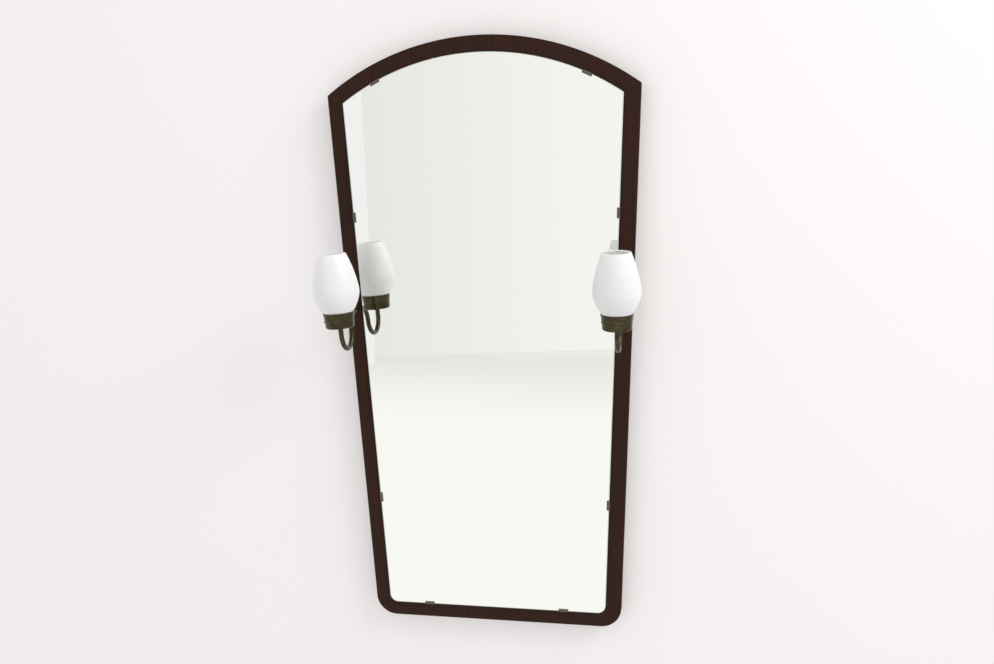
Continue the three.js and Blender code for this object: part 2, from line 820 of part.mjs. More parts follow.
// ---------------------------------------------------------------- lampholder and bulb
const holderFoot = cupWall + seatGap + cupNutThickness + seatGap;
const holderTop = holderFoot + holderHeight;
const shellSeat = holderFoot + holderBaseThickness + holderChamberHeight;

const threadShellBore = threadShellRadius - threadShellWall;

function makeLampholder(group, side) {
  const bore = armRadius + seatGap;
  const ledgeRadius = threadShellBore - holderLedge;
  const body = turned([
    [bore, holderFoot],
    [holderRadius, holderFoot],
    [holderRadius, holderTop - holderEasing],
    [holderRadius - holderEasing, holderTop],
    [threadShellRadius + seatGap, holderTop],
    [threadShellRadius + seatGap, shellSeat],
    [ledgeRadius, shellSeat],
    [ledgeRadius, holderFoot + holderBaseThickness],
    [bore, holderFoot + holderBaseThickness],
    [bore, holderFoot],
  ], holderSides);
  addPiece(group, `${side}_lampholder`, solidOf(body), blackResin);

  const shellFoot = shellSeat + seatGap;
  const shell = turned([
    [threadShellBore, shellFoot],
    [threadShellRadius, shellFoot],
    [threadShellRadius, holderTop],
    [threadShellBore, holderTop],
    [threadShellBore, shellFoot],
  ], holderSides);
  addPiece(group, `${side}_thread_shell`, solidOf(shell), cleanBrass);
}

// The candle bulb's radius at a height above its flange.
function bulbOuterRadius(height) {
  if (height >= bulbWidestHeight) {
    const share = (height - bulbWidestHeight) / (bulbLength - bulbWidestHeight);
    return bulbRadius * Math.max(0, 1 - share ** bulbTaperPower) ** bulbTipPower;
  }
  const mouth = bulbFlangeRadius - bulbWall / 2;
  return mouth + (bulbRadius - mouth) * Math.sin((Math.PI / 2) * (height / bulbWidestHeight));
}

function bulbProfile(foot) {
  const skin = [];
  for (let i = 0; i < bulbLowerSteps; i += 1) {
    const height = (bulbWidestHeight * i) / bulbLowerSteps;
    skin.push([bulbOuterRadius(height), foot + height]);
  }
  for (let i = 0; i < bulbUpperSteps; i += 1) {
    const height = bulbWidestHeight + ((bulbLength - bulbWidestHeight) * i) / bulbUpperSteps;
    skin.push([bulbOuterRadius(height), foot + height]);
  }
  const lining = skin.map(([radius, height]) => [radius - bulbWall, height]).reverse();
  const tip = foot + bulbLength;
  return [...skin, [0, tip], [0, tip - 2 * bulbWall], ...lining, skin[0]];
}

function makeBulb(group, side) {
  const capRadius = threadShellBore - seatGap;
  const capFoot = shellSeat + seatGap + bulbCapRise;
  const flangeFoot = holderTop + seatGap;
  const flangeTop = flangeFoot + bulbFlangeHeight;
  const cap = turned([
    [0, capFoot - contactLength],
    [contactRadius, capFoot - contactLength],
    [contactRadius, capFoot],
    [capRadius, capFoot + bulbCapTaper],
    [capRadius, flangeFoot],
    [bulbFlangeRadius, flangeFoot],
    [bulbFlangeRadius, flangeTop],
    [0, flangeTop],
  ], holderSides);
  addPiece(group, `${side}_bulb_cap`, solidOf(cap), cleanBrass);
  const glass = turned(bulbProfile(flangeTop + seatGap), holderSides);
  addPiece(group, `${side}_bulb`, solidOf(glass), bulbGlass);
}

// ---------------------------------------------------------------- the two lamps
// Each arm may stand a little out of true: turned about its root, swung towards the pane or
// leaning forward under its cup.
function makeLamp(side, sign, armTurn, armSwing, cupLean, screwTurn) {
  const lean = THREE.MathUtils.degToRad(cupLean);
  const swing = -sign * THREE.MathUtils.degToRad(armSwing);
  const swanNeck = new SwanNeck(lean, swing);
  const arm = new THREE.Group();
  arm.position.set(sign * armOffset, boardFrontY, armRootHeight);
  arm.rotation.y = sign * THREE.MathUtils.degToRad(armTurn);
  makeArm(arm, side, swanNeck);

  const cup = new THREE.Group();
  cup.position.copy(swanNeck.cupFoot());
  cup.rotation.set(lean, 0, swing, 'ZYX');
  makeCup(cup, side, screwTurn);
  makeShade(cup, side);
  makeLampholder(cup, side);
  makeBulb(cup, side);
  arm.add(cup);
  mirror.add(arm);
}

makeLamp('left', -1, leftArmTurn, leftArmSwing, leftCupLean, leftGalleryScrewTurn);
makeLamp('right', 1, rightArmTurn, rightArmSwing, rightCupLean, rightGalleryScrewTurn);

// ---------------------------------------------------------------- the part's own origin
mirror.position.z = -upperBattenHeight;
mirror.updateMatrixWorld(true);

export default mirror;
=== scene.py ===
# A girandole mirror: a bevelled pane in spring clips on a veneered board, with a brass lamp on a
# swan-neck arm at each side. Metres, +Z up; the front faces -Y and the wall is the plane Y = 0.
import math

import bmesh
import bpy
from mathutils import Matrix, Vector


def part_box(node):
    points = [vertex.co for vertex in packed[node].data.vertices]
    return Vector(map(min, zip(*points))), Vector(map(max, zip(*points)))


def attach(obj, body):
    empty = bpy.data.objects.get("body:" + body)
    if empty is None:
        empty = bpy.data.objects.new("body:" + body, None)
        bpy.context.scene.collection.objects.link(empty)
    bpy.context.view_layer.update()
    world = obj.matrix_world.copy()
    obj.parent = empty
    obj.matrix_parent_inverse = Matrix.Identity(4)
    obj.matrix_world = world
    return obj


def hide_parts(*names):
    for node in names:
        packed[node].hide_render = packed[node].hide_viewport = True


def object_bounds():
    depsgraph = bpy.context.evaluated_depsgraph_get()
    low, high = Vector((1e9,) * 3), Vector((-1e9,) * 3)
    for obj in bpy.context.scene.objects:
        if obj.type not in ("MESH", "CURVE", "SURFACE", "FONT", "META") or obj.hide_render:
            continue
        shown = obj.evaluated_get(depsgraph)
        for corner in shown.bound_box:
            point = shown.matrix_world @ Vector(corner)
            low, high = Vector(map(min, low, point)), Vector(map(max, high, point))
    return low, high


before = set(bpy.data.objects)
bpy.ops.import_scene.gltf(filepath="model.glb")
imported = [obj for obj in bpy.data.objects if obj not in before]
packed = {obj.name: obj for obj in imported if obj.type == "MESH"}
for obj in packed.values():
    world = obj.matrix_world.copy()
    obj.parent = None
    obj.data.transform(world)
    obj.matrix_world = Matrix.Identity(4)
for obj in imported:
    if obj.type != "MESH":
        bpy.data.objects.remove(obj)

cad_low, cad_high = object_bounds()

# ------------------------------------------------------------------ the view and the room
# The mirror hangs on a pale painted wall over a pale floor, in soft daylight from the upper
# right. The camera stands to the right of the middle, level with the upper batten.
camera_place = Vector((0.372, -1.8161, -0.0154))
camera_turn = math.radians(11.2065)
camera_tilt = math.radians(-10.3685)
camera_roll = math.radians(-1.7668)
camera_lens = 35.753
paint_colour = "#FCF9F8"
plain_share = 0.16
daylight_colour = "#F4F4F1"
dim_corner_colour = "#6E675F"
soft_light = 0.82
floor_drop = 0.62
wall_reach = 9.0
far_corner = Vector((-1.94, -5.2))
far_wall_way = Vector((1.0, -0.193))
far_wall_run = 3.4
bright_wall_from = -0.4
bright_floor_from = -3.7
side_wall_end = -1.2
skirting_height = 0.05
skirting_thickness = 0.01
wall_gap = 0.0004
dim_corner_from = 0.55
dim_corner_to = 0.9
window_power = 53
window_size = 1.7
window_place = Vector((2.8, -1.3, 1.9))
window_aim = Vector((0.0, 0.0, -0.35))


def linear(colour):
    """An sRGB hex colour as linear red, green and blue, with alpha 1."""
    shares = [int(colour[i:i + 2], 16) / 255 for i in (1, 3, 5)]
    return [*(s / 12.92 if s <= 0.04045 else ((s + 0.055) / 1.055) ** 2.4 for s in shares), 1.0]


def node(tree, kind, inputs=None, **settings):
    """A new node with its settings. Each input, by name or number, holds a value or is linked to
    a socket or to another node's first output in use."""
    made = tree.nodes.new(kind)
    for name, value in settings.items():
        setattr(made, name, value)
    for key, value in (inputs or {}).items():
        socket = made.inputs[key] if isinstance(key, int) else next(
            s for s in made.inputs if s.enabled and s.name == key)
        if isinstance(value, bpy.types.Node):
            value = next(s for s in value.outputs if s.enabled)
        if isinstance(value, bpy.types.NodeSocket):
            tree.links.new(value, socket)
        else:
            socket.default_value = value
    return made


def linked(name, data):
    """An object in the scene for this data."""
    made = bpy.data.objects.new(name, data)
    bpy.context.scene.collection.objects.link(made)
    return made


def new_finish(name):
    """A new material with an empty tree, and its object coordinates in metres."""
    material = bpy.data.materials.new(name)
    material.use_nodes = True
    tree = material.node_tree
    tree.nodes.clear()
    return material, tree, node(tree, "ShaderNodeTexCoord").outputs["Object"]


def room_paint(name, near, far, axis="X", start=0.0, end=1.0):
    """Matt paint that lets light pass. The camera sees its front by this light, made a little
    plainer; a mirror sees its front in two colours, blended from start to end along an axis."""
    material, tree, place = new_finish(name)
    ray = node(tree, "ShaderNodeLightPath").outputs
    back = node(tree, "ShaderNodeNewGeometry").outputs["Backfacing"]
    front = node(tree, "ShaderNodeMath", {0: 1.0, 1: back}, operation="SUBTRACT")
    looked_at, reflected = [
        node(tree, "ShaderNodeMath", {0: ray[kind], 1: front}, operation="MULTIPLY")
        for kind in ("Is Camera Ray", "Is Glossy Ray")
    ]
    matt = node(tree, "ShaderNodeBsdfDiffuse", {"Color": linear(paint_colour)})
    plain = node(tree, "ShaderNodeEmission", {"Color": linear(paint_colour)})
    painted = node(tree, "ShaderNodeMixShader", {0: plain_share, 1: matt, 2: plain})
    along = node(tree, "ShaderNodeMapRange", {
        "Value": node(tree, "ShaderNodeSeparateXYZ", {"Vector": place}).outputs[axis],
        "From Min": start, "From Max": end})
    tint = node(
        tree, "ShaderNodeMix", {"Factor": along, "A": linear(near), "B": linear(far)},
        data_type="RGBA")
    glow = node(tree, "ShaderNodeEmission", {"Color": tint})
    clear = node(tree, "ShaderNodeBsdfTransparent")
    direct = node(tree, "ShaderNodeMixShader", {0: looked_at, 1: clear, 2: painted})
    both = node(tree, "ShaderNodeMixShader", {0: reflected, 1: direct, 2: glow})
    node(tree, "ShaderNodeOutputMaterial", {"Surface": both})
    return material


def upright(start, end, top):
    """The corners of an upright face that stands on the floor between two points."""
    return [(*start, floor_height), (*end, floor_height), (*end, top), (*start, top)]


def room_face(name, corners, material):
    """A flat face of the room, with its corners anticlockwise as seen from its front."""
    mesh = bpy.data.meshes.new(name)
    mesh.from_pydata(corners, [], [range(len(corners))])
    mesh.materials.append(material)
    linked(name, mesh)


camera = linked("camera", bpy.data.cameras.new("camera"))
camera.data.lens = camera_lens
camera.matrix_world = (
    Matrix.Translation(camera_place)
    @ Matrix.Rotation(camera_turn, 4, "Z")
    @ Matrix.Rotation(math.pi / 2 + camera_tilt, 4, "X")
    @ Matrix.Rotation(camera_roll, 4, "Z")
)
bpy.context.scene.camera = camera
bpy.context.scene.view_settings.view_transform = "Standard"

floor_height = cad_low.z - floor_drop
wall_line = cad_high.y + wall_gap
far_end = far_corner + far_wall_way * far_wall_run
before_wall = Vector((0, skirting_thickness))
room_face(
    "wall", upright((-wall_reach, wall_line), (wall_reach, wall_line), wall_reach),
    room_paint("matt_wall_paint", "#F4F4F1", "#F4F4F1"))
# Only the mirror shows these tints: the floor is painted darker towards the far wall, and the far
# wall darker towards its far corner, as painted shade of the room.
room_face("floor", [
    (-wall_reach, -wall_reach, floor_height), (wall_reach, -wall_reach, floor_height),
    (wall_reach, wall_reach, floor_height), (-wall_reach, wall_reach, floor_height),
], room_paint("pale_floor_paint", "#EDECE8", "#FEFEFA", "Y", far_corner.y, bright_floor_from))
room_face(
    "far_wall", upright(far_end, far_corner, wall_reach),
    room_paint("far_wall_paint", "#EDECE9", "#FBF9F7", "X", far_corner.x, bright_wall_from))
# A skirting strip at the far wall's foot, painted a little darker than the wall as painted shade
# where wall and floor meet.
room_face(
    "skirting",
    upright(far_end + before_wall, far_corner + before_wall, floor_height + skirting_height),
    room_paint("skirting_painted_shade", "#E9E8E5", "#F1F0ED", "X", far_corner.x, bright_wall_from))
room_face(
    "side_wall", upright(far_corner, (far_corner.x, side_wall_end), wall_reach),
    room_paint("side_wall_paint", "#F7F5F6", "#F7F5F6"))

world = bpy.data.worlds.new("daylight")
world.use_nodes = True
sky = world.node_tree
sky.nodes.clear()
ray = node(sky, "ShaderNodeLightPath").outputs
shining = node(
    sky, "ShaderNodeMath", {0: ray["Is Glossy Ray"], 1: ray["Is Transmission Ray"]},
    operation="MAXIMUM")
seeing = node(
    sky, "ShaderNodeMath", {0: ray["Is Camera Ray"], 1: shining}, operation="MAXIMUM")
sky_way = node(sky, "ShaderNodeSeparateXYZ", {
    "Vector": node(sky, "ShaderNodeTexCoord").outputs["Generated"]})
to_the_right = node(sky, "ShaderNodeMapRange", {
    "Value": sky_way.outputs["X"], "From Min": dim_corner_from, "From Max": dim_corner_to})
by_sight = node(sky, "ShaderNodeMath", {0: ray["Diffuse Depth"], 1: 0.5}, operation="LESS_THAN")
in_metal = node(
    sky, "ShaderNodeMath", {0: by_sight, 1: ray["Is Glossy Ray"]}, operation="MULTIPLY")
corner_share = node(
    sky, "ShaderNodeMath", {0: to_the_right, 1: in_metal}, operation="MULTIPLY")
room_colour = node(sky, "ShaderNodeMix", {
    "Factor": corner_share, "A": linear(daylight_colour), "B": linear(dim_corner_colour),
}, data_type="RGBA")
lit = node(sky, "ShaderNodeBackground", {"Color": (1, 1, 1, 1), "Strength": soft_light})
seen = node(sky, "ShaderNodeBackground", {"Color": room_colour, "Strength": 1.0})
shown = node(sky, "ShaderNodeMixShader", {0: seeing, 1: lit, 2: seen})
node(sky, "ShaderNodeOutputWorld", {"Surface": shown})
bpy.context.scene.world = world

window = linked("window_light", bpy.data.lights.new("window_light", "AREA"))
window.data.energy = window_power
window.data.size = window_size
window.location = window_place
window.rotation_euler = (window_aim - window_place).to_track_quat("-Z", "Y").to_euler()

# ------------------------------------------------------------------ the veneered board
# One flat board, 16 mm thick, with straight sides that widen up to sharp shoulders under an
# arched top. Its face and edges are veneered and lacquered, its back is bare; it is drilled
# for the two arms and for every wood screw.
board_low, board_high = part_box("back_board")
base_half_width = 0.244
arch_rise = 0.095
board_corner = 0.040
edge_rounding = 0.0012
arch_steps = 96
corner_steps = 14
shoulder_height = board_high.z - arch_rise
side_slope = math.atan2(board_high.x - base_half_width, shoulder_height - board_low.z)
arch_radius = (board_high.x ** 2 + arch_rise ** 2) / (2 * arch_rise)
arch_centre = board_high.z - arch_radius
veneer_fibre = 0.0011
veneer_fibre_length = 0.11
veneer_figure = 0.045
veneer_figure_length = 0.27
seat_gap = 0.0003
smooth_limit = math.radians(32)


def arc(centre_x, centre_z, radius, start, end, steps):
    """Points along an arc, from one angle to another."""
    turns = [start + (end - start) * i / steps for i in range(steps + 1)]
    return [
        (centre_x + radius * math.cos(turn), centre_z + radius * math.sin(turn)) for turn in turns]


def half_width_at(height, inset):
    """Half the board's width at a height on its straight side, drawn in by inset."""
    side = base_half_width + (height - board_low.z) * math.tan(side_slope)
    return side - inset / math.cos(side_slope)


def tapered_arch(inset, corner):
    """The board's outline drawn in by inset, anticlockwise from the bottom right corner."""
    radius = arch_radius - inset
    start = Vector((half_width_at(board_low.z, inset), board_low.z - arch_centre))
    way = Vector((math.sin(side_slope), math.cos(side_slope)))
    along = start.dot(way)
    reach = -along + math.sqrt(along ** 2 - start.length_squared + radius ** 2)
    shoulder = start + way * reach
    turn = math.atan2(shoulder.y, shoulder.x)
    corner_z = board_low.z + inset + corner
    corner_x = half_width_at(corner_z, inset + corner)
    right = arc(corner_x, corner_z, corner, -math.pi / 2, -side_slope, corner_steps)
    arch = arc(0, arch_centre, radius, turn, math.pi - turn, arch_steps)
    return [*right, *arch, *[(-x, z) for x, z in reversed(right)]]


def as_piece(name, mesh, *materials):
    """An object at the origin for a finished mesh, smooth but for its sharp edges."""
    mesh.polygons.foreach_set("use_smooth", [True] * len(mesh.polygons))
    mesh.set_sharp_from_angle(angle=smooth_limit)
    for material in materials:
        mesh.materials.append(material)
    return linked(name, mesh)


def plain_mesh(shell):
    """The mesh that a bmesh holds, and the bmesh freed."""
    mesh = bpy.data.meshes.new("shell")
    shell.to_mesh(mesh)
    shell.free()
    return mesh


def stacked(rings):
    """A closed mesh skinned over like outlines, given as (outline, y) from back to front."""
    shell = bmesh.new()
    loops = [[shell.verts.new((x, y, z)) for x, z in outline] for outline, y in rings]
    for back, front in zip(loops, loops[1:]):
        for i in range(len(back)):
            shell.faces.new((back[i - 1], back[i], front[i], front[i - 1]))
    shell.faces.new(loops[0])
    shell.faces.new(loops[-1])
    bmesh.ops.recalc_face_normals(shell, faces=shell.faces)
    return plain_mesh(shell)


def settled(carrier):
    """The evaluated mesh of an object with modifiers, which is then removed."""
    view = bpy.context.evaluated_depsgraph_get()
    mesh = bpy.data.meshes.new_from_object(carrier.evaluated_get(view))
    bpy.data.objects.remove(carrier)
    return mesh


def less(mesh, cutter):
    """The mesh less another mesh."""
    knife = linked("cutter", cutter)
    carrier = linked("cut", mesh)
    modifier = carrier.modifiers.new("cut", "BOOLEAN")
    modifier.object = knife
    modifier.solver = "EXACT"
    result = settled(carrier)
    bpy.data.objects.remove(knife)
    return result


def drilled(mesh, holes, steps=24):
    """The mesh less round holes, each given as (start, end, radius)."""
    drills = bmesh.new()
    for start, end, radius in holes:
        way = Vector(end) - Vector(start)
        aim = way.to_track_quat("Z", "Y").to_matrix().to_4x4()
        bmesh.ops.create_cone(
            drills, cap_ends=True, segments=steps, radius1=radius, radius2=radius,
            depth=way.length, matrix=Matrix.Translation((Vector(start) + Vector(end)) / 2) @ aim)
    return less(mesh, plain_mesh(drills))


def veneer_grain(tree, place):
    """The fine fibres and the slow figure of a veneer. Fibres are drawn about five times as wide
    as the real ones, so that they show."""
    fibre_scale = (1 / veneer_fibre, 1 / veneer_fibre, 1 / veneer_fibre_length)
    fibre = node(tree, "ShaderNodeTexNoise", {
        "Vector": node(tree, "ShaderNodeMapping", {"Vector": place, "Scale": fibre_scale}),
        "Scale": 1, "Detail": 5, "Distortion": 0.4})
    figure_scale = (1 / veneer_figure, 1 / veneer_figure, 1 / veneer_figure_length)
    figure = node(tree, "ShaderNodeTexNoise", {
        "Vector": node(tree, "ShaderNodeMapping", {"Vector": place, "Scale": figure_scale}),
        "Scale": 1, "Detail": 2, "Distortion": 0.8})
    return fibre, figure


def lacquered_veneer():
    """Dark reddish-brown veneer under old satin lacquer: faint long fibres, little shine."""
    material, tree, place = new_finish("lacquered_veneer")
    fibre, figure = veneer_grain(tree, place)
    reddening = node(tree, "ShaderNodeMapRange", {
        "Value": figure, "From Min": 0.35, "From Max": 0.65})
    ground = node(tree, "ShaderNodeMix", {
        "Factor": reddening, "A": linear("#311C13"), "B": linear("#3A1E14")}, data_type="RGBA")
    paling = node(tree, "ShaderNodeMapRange", {
        "Value": fibre, "From Min": 0.42, "From Max": 0.62})
    colour = node(tree, "ShaderNodeMix", {
        "Factor": paling, "A": linear("#2C1911"), "B": ground}, data_type="RGBA")
    gloss = node(tree, "ShaderNodeMapRange", {
        "Value": fibre, "From Min": 0.3, "From Max": 0.7, "To Min": 0.5, "To Max": 0.36})
    bump = node(tree, "ShaderNodeBump", {"Height": fibre, "Distance": 0.00002})
    lacquer = node(tree, "ShaderNodeBsdfPrincipled", {
        "Base Color": colour, "Roughness": gloss, "Normal": bump,
        "IOR": 1.5, "Specular IOR Level": 0.12})
    node(tree, "ShaderNodeOutputMaterial", {"Surface": lacquer})
    return material


def bare_veneer():
    """The unlacquered backing veneer: paler, open-grained and dull."""
    material, tree, place = new_finish("bare_backing_veneer")
    fibre, figure = veneer_grain(tree, place)
    ground = node(tree, "ShaderNodeMix", {
        "Factor": figure, "A": linear("#6A4A35"), "B": linear("#80604A")}, data_type="RGBA")
    paling = node(tree, "ShaderNodeMapRange", {"Value": fibre, "From Min": 0.4, "From Max": 0.6})
    colour = node(tree, "ShaderNodeMix", {
        "Factor": paling, "A": linear("#543A2A"), "B": ground}, data_type="RGBA")
    bump = node(tree, "ShaderNodeBump", {"Height": fibre, "Distance": 0.00006})
    wood = node(tree, "ShaderNodeBsdfPrincipled", {
        "Base Color": colour, "Roughness": 0.75, "Normal": bump})
    node(tree, "ShaderNodeOutputMaterial", {"Surface": wood})
    return material


def dressed(piece, slot, *nodes, body="mirror"):
    """The piece moves with a body and stands for these nodes; the slot is not used."""
    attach(piece, body)
    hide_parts(*nodes)
    return piece


screw_shank = 0.0016
screw_hole = screw_shank + seat_gap
arm_radius = 0.0045
arm_hole_radius = 0.005
rounding_steps = 6
flat_face = 0.9
sides = {"left": -1, "right": 1}
drill_past = 0.002


def middle(name):
    """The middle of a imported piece's box."""
    low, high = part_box(name)
    return (low + high) / 2


def along_y(name, start, end):
    """A straight hole for a packed screw, from one depth to another."""
    centre = middle(name)
    return ((centre.x, start, centre.z), (centre.x, end, centre.z), screw_hole)


clip_rows = ("arch", "upper", "lower", "bottom")
clip_names = [f"clip_{row}_{side}" for row in clip_rows for side in sides]
batten_screw_names = [f"{row}_batten_screw_{side}" for row in ("upper", "lower") for side in sides]
hanger_screw_names = [f"hanger_{side}_screw_{end}" for side in sides for end in ("top", "bottom")]

rounded = []
for i in range(rounding_steps + 1):
    turn = math.pi / 2 * i / rounding_steps
    rounded.append((edge_rounding * (1 - math.sin(turn)), edge_rounding * (1 - math.cos(turn))))
board_rings = [
    (tapered_arch(inset, board_corner - inset), board_high.y - sink) for inset, sink in rounded]
board_rings += [
    (tapered_arch(inset, board_corner - inset), board_low.y + sink)
    for inset, sink in reversed(rounded)]
board_holes = []
for side in sides:
    root = middle(f"{side}_arm_collar")
    board_holes.append((
        (root.x, board_high.y + drill_past, root.z), (root.x, board_low.y - drill_past, root.z),
        arm_hole_radius))
for name in clip_names:
    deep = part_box(f"{name}_screw")[1].y + seat_gap
    board_holes.append(along_y(f"{name}_screw", board_low.y - drill_past, deep))
for name in [*batten_screw_names, "terminal_block_screw"]:
    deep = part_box(name)[0].y - seat_gap
    board_holes.append(along_y(name, board_high.y + drill_past, deep))

board = as_piece(
    "veneered_board", drilled(stacked(board_rings), board_holes), lacquered_veneer(), bare_veneer())
for face in board.data.polygons:
    face.material_index = 1 if face.normal.y > flat_face else 0
dressed(board, "veneer", "back_board")

# ------------------------------------------------------------------ the mirror pane
# Float glass, 4 mm thick and silvered, cut to the board's outline 30 mm smaller all round, with
# a narrow flat bevel ground and polished on its front edge.
pane_low, pane_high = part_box("mirror_pane")
border = 0.030
pane_corner = 0.016
bevel_width = 0.0014
bevel_depth = 0.0008
arris = 0.0003


def silvered_glass():
    """Silvered float glass: a clean mirror with the faint green-grey of the glass."""
    material, tree, _ = new_finish("silvered_glass")
    silver = node(tree, "ShaderNodeBsdfPrincipled", {
        "Base Color": linear("#F8FAF7"), "Metallic": 1.0, "Roughness": 0.0})
    node(tree, "ShaderNodeOutputMaterial", {"Surface": silver})
    return material


def mottled(name, spot, detail, dark, light, roughness, ior):
    """A smooth material that varies between two colours in soft spots of a size."""
    material, tree, place = new_finish(name)
    cloud = node(tree, "ShaderNodeTexNoise", {
        "Vector": place, "Scale": 1 / spot, "Detail": detail})
    colour = node(tree, "ShaderNodeMix", {
        "Factor": cloud, "A": linear(dark), "B": linear(light)}, data_type="RGBA")
    surface = node(tree, "ShaderNodeBsdfPrincipled", {
        "Base Color": colour, "Roughness": roughness, "IOR": ior})
    node(tree, "ShaderNodeOutputMaterial", {"Surface": surface})
    return material


# The pane's edge, ground and half polished: pale green and softly bright.
ground_edge = mottled("ground_glass_edge", 0.0006, 4, "#B4C4BA", "#DCE4DC", 0.3, 1.52)
pane = as_piece("silvered_pane", stacked([
    (tapered_arch(border + arris, pane_corner - arris), pane_high.y),
    (tapered_arch(border, pane_corner), pane_high.y - arris),
    (tapered_arch(border, pane_corner), pane_low.y + bevel_depth),
    (tapered_arch(border + bevel_width, pane_corner - bevel_width), pane_low.y),
]), silvered_glass(), ground_edge)
for face in pane.data.polygons:
    face.use_smooth = False
    face.material_index = 0 if face.normal.y < -flat_face else 1
dressed(pane, "mirror_glass", "mirror_pane")

# ------------------------------------------------------------------ the spring clips
# Eight strips of nickel-plated spring steel, 19 mm wide and 1 mm thick, each bent twice: a foot
# screwed down behind the pane, a riser past its edge and a round-cornered tab over the glass.
clip_width = 0.019
clip_strip = 0.001
clip_reach = 0.0045
clip_foot = 0.015
clip_corner = 0.003
clip_bend = 0.0009
clip_tumbling = 0.00018
clip_columns = 14
clip_corner_steps = 8
nickel_line = 0.0004
nickel_line_length = 0.00588
nickel_speck = 0.0012
clip_screw_inset = clip_foot / 2
clip_foot_y = board_low.y - seat_gap - clip_strip / 2
clip_tab_y = pane_low.y - seat_gap - clip_strip / 2
clip_riser_z = seat_gap + clip_strip / 2


def bent_line(points, radius, steps=5):
    """A line in the Y-Z plane through these points, with its inner corners rounded."""
    line = [Vector(points[0])]
    for before, corner, after in zip(points, points[1:], points[2:]):
        corner = Vector(corner)
        start = corner + (Vector(before) - corner).normalized() * radius
        end = corner + (Vector(after) - corner).normalized() * radius
        for i in range(steps + 1):
            share = i / steps
            line.append(start.lerp(corner, share).lerp(corner.lerp(end, share), share))
    return [*line, Vector(points[-1])]


def clip_strip_mesh():
    """One clip at the origin: the pane's edge runs along X, and +Z points away from the pane."""
    line = bent_line([
        (clip_foot_y, -clip_foot),
        (clip_foot_y, clip_riser_z),
        (clip_tab_y, clip_riser_z),
        (clip_tab_y, clip_corner - clip_reach),
    ], clip_bend)
    for i in range(1, clip_corner_steps + 1):
        turn = math.pi / 2 * i / clip_corner_steps
        line.append(Vector((clip_tab_y, clip_corner - clip_reach - clip_corner * math.sin(turn))))
    strip = bmesh.new()
    rows = []
    for y, z in line:
        past = max(0.0, clip_corner - clip_reach - z) if y == clip_tab_y else 0.0
        half = clip_width / 2 - clip_corner + math.sqrt(max(0.0, clip_corner ** 2 - past ** 2))
        xs = [half * (2 * i / clip_columns - 1) for i in range(clip_columns + 1)]
        rows.append([strip.verts.new((x, y, z)) for x in xs])
    for low, high in zip(rows, rows[1:]):
        for i in range(clip_columns):
            strip.faces.new((low[i], low[i + 1], high[i + 1], high[i]))
    carrier = linked("clip", plain_mesh(strip))
    wall = carrier.modifiers.new("thickness", "SOLIDIFY")
    wall.thickness = clip_strip
    wall.offset = 0
    wall.use_even_offset = True
    edge = carrier.modifiers.new("tumbled_edge", "BEVEL")
    edge.width = clip_tumbling
    edge.segments = 2
    edge.limit_method = "ANGLE"
    return settled(carrier)


def node_group(name, **inputs):
    """An empty geometry node group, with its inputs' identifiers by name."""
    tree = bpy.data.node_groups.new(name, "GeometryNodeTree")
    identifiers = {}
    for socket, kind in inputs.items():
        made = tree.interface.new_socket(
            socket, in_out="INPUT", socket_type=f"NodeSocket{kind}")
        identifiers[socket] = made.identifier
    tree.interface.new_socket("Result", in_out="OUTPUT", socket_type="NodeSocketGeometry")
    return tree, identifiers


def with_nodes(name, mesh, tree, identifiers, **values):
    """An object with the mesh and a geometry node group, whose inputs are set."""
    carrier = linked(name, mesh)
    modifier = carrier.modifiers.new("nodes", "NODES")
    modifier.node_group = tree
    for socket, value in values.items():
        modifier[identifiers[socket]] = value
    return carrier


def set_at_places(name, part, places, material, spin=0.0, seed=0):
    """Geometry nodes that set one part at each place (a point and its turn about X, Y and Z),
    spun about its own Z by a random share of spin, and join the copies in one plain mesh."""
    tree, identifiers = node_group(
        name, Places="Geometry", Part="Object", Spin="Float", Seed="Int", Finish="Material")
    given = node(tree, "NodeGroupInput").outputs
    turn = node(
        tree, "GeometryNodeInputNamedAttribute", {"Name": "turn"}, data_type="FLOAT_VECTOR")
    source = node(tree, "GeometryNodeObjectInfo", {"Object": given["Part"], "As Instance": True})
    copies = node(tree, "GeometryNodeInstanceOnPoints", {
        "Points": given["Places"],
        "Instance": source.outputs["Geometry"],
        "Rotation": turn.outputs["Attribute"],
    })
    share = node(tree, "FunctionNodeRandomValue", {"Seed": given["Seed"]}, data_type="FLOAT")
    angle = node(
        tree, "ShaderNodeMath", {0: share.outputs[1], 1: given["Spin"]}, operation="MULTIPLY")
    spun = node(tree, "ShaderNodeCombineXYZ", {"Z": angle})
    turned_copies = node(tree, "GeometryNodeRotateInstances", {
        "Instances": copies, "Rotation": spun, "Local Space": True})
    real = node(tree, "GeometryNodeRealizeInstances", {"Geometry": turned_copies})
    made = node(
        tree, "GeometryNodeSetMaterial", {"Geometry": real, "Material": given["Finish"]})
    node(tree, "NodeGroupOutput", {0: made})

    points = bpy.data.meshes.new(name)
    points.from_pydata([place for place, _ in places], [], [])
    turns = points.attributes.new("turn", "FLOAT_VECTOR", "POINT")
    for i, (_, angles) in enumerate(places):
        turns.data[i].vector = angles
    original = linked(f"{name}_part", part)
    carrier = with_nodes(
        name, points, tree, identifiers, Part=original, Spin=spin, Seed=seed, Finish=material)
    mesh = settled(carrier)
    bpy.data.objects.remove(original)
    return as_piece(name, mesh)


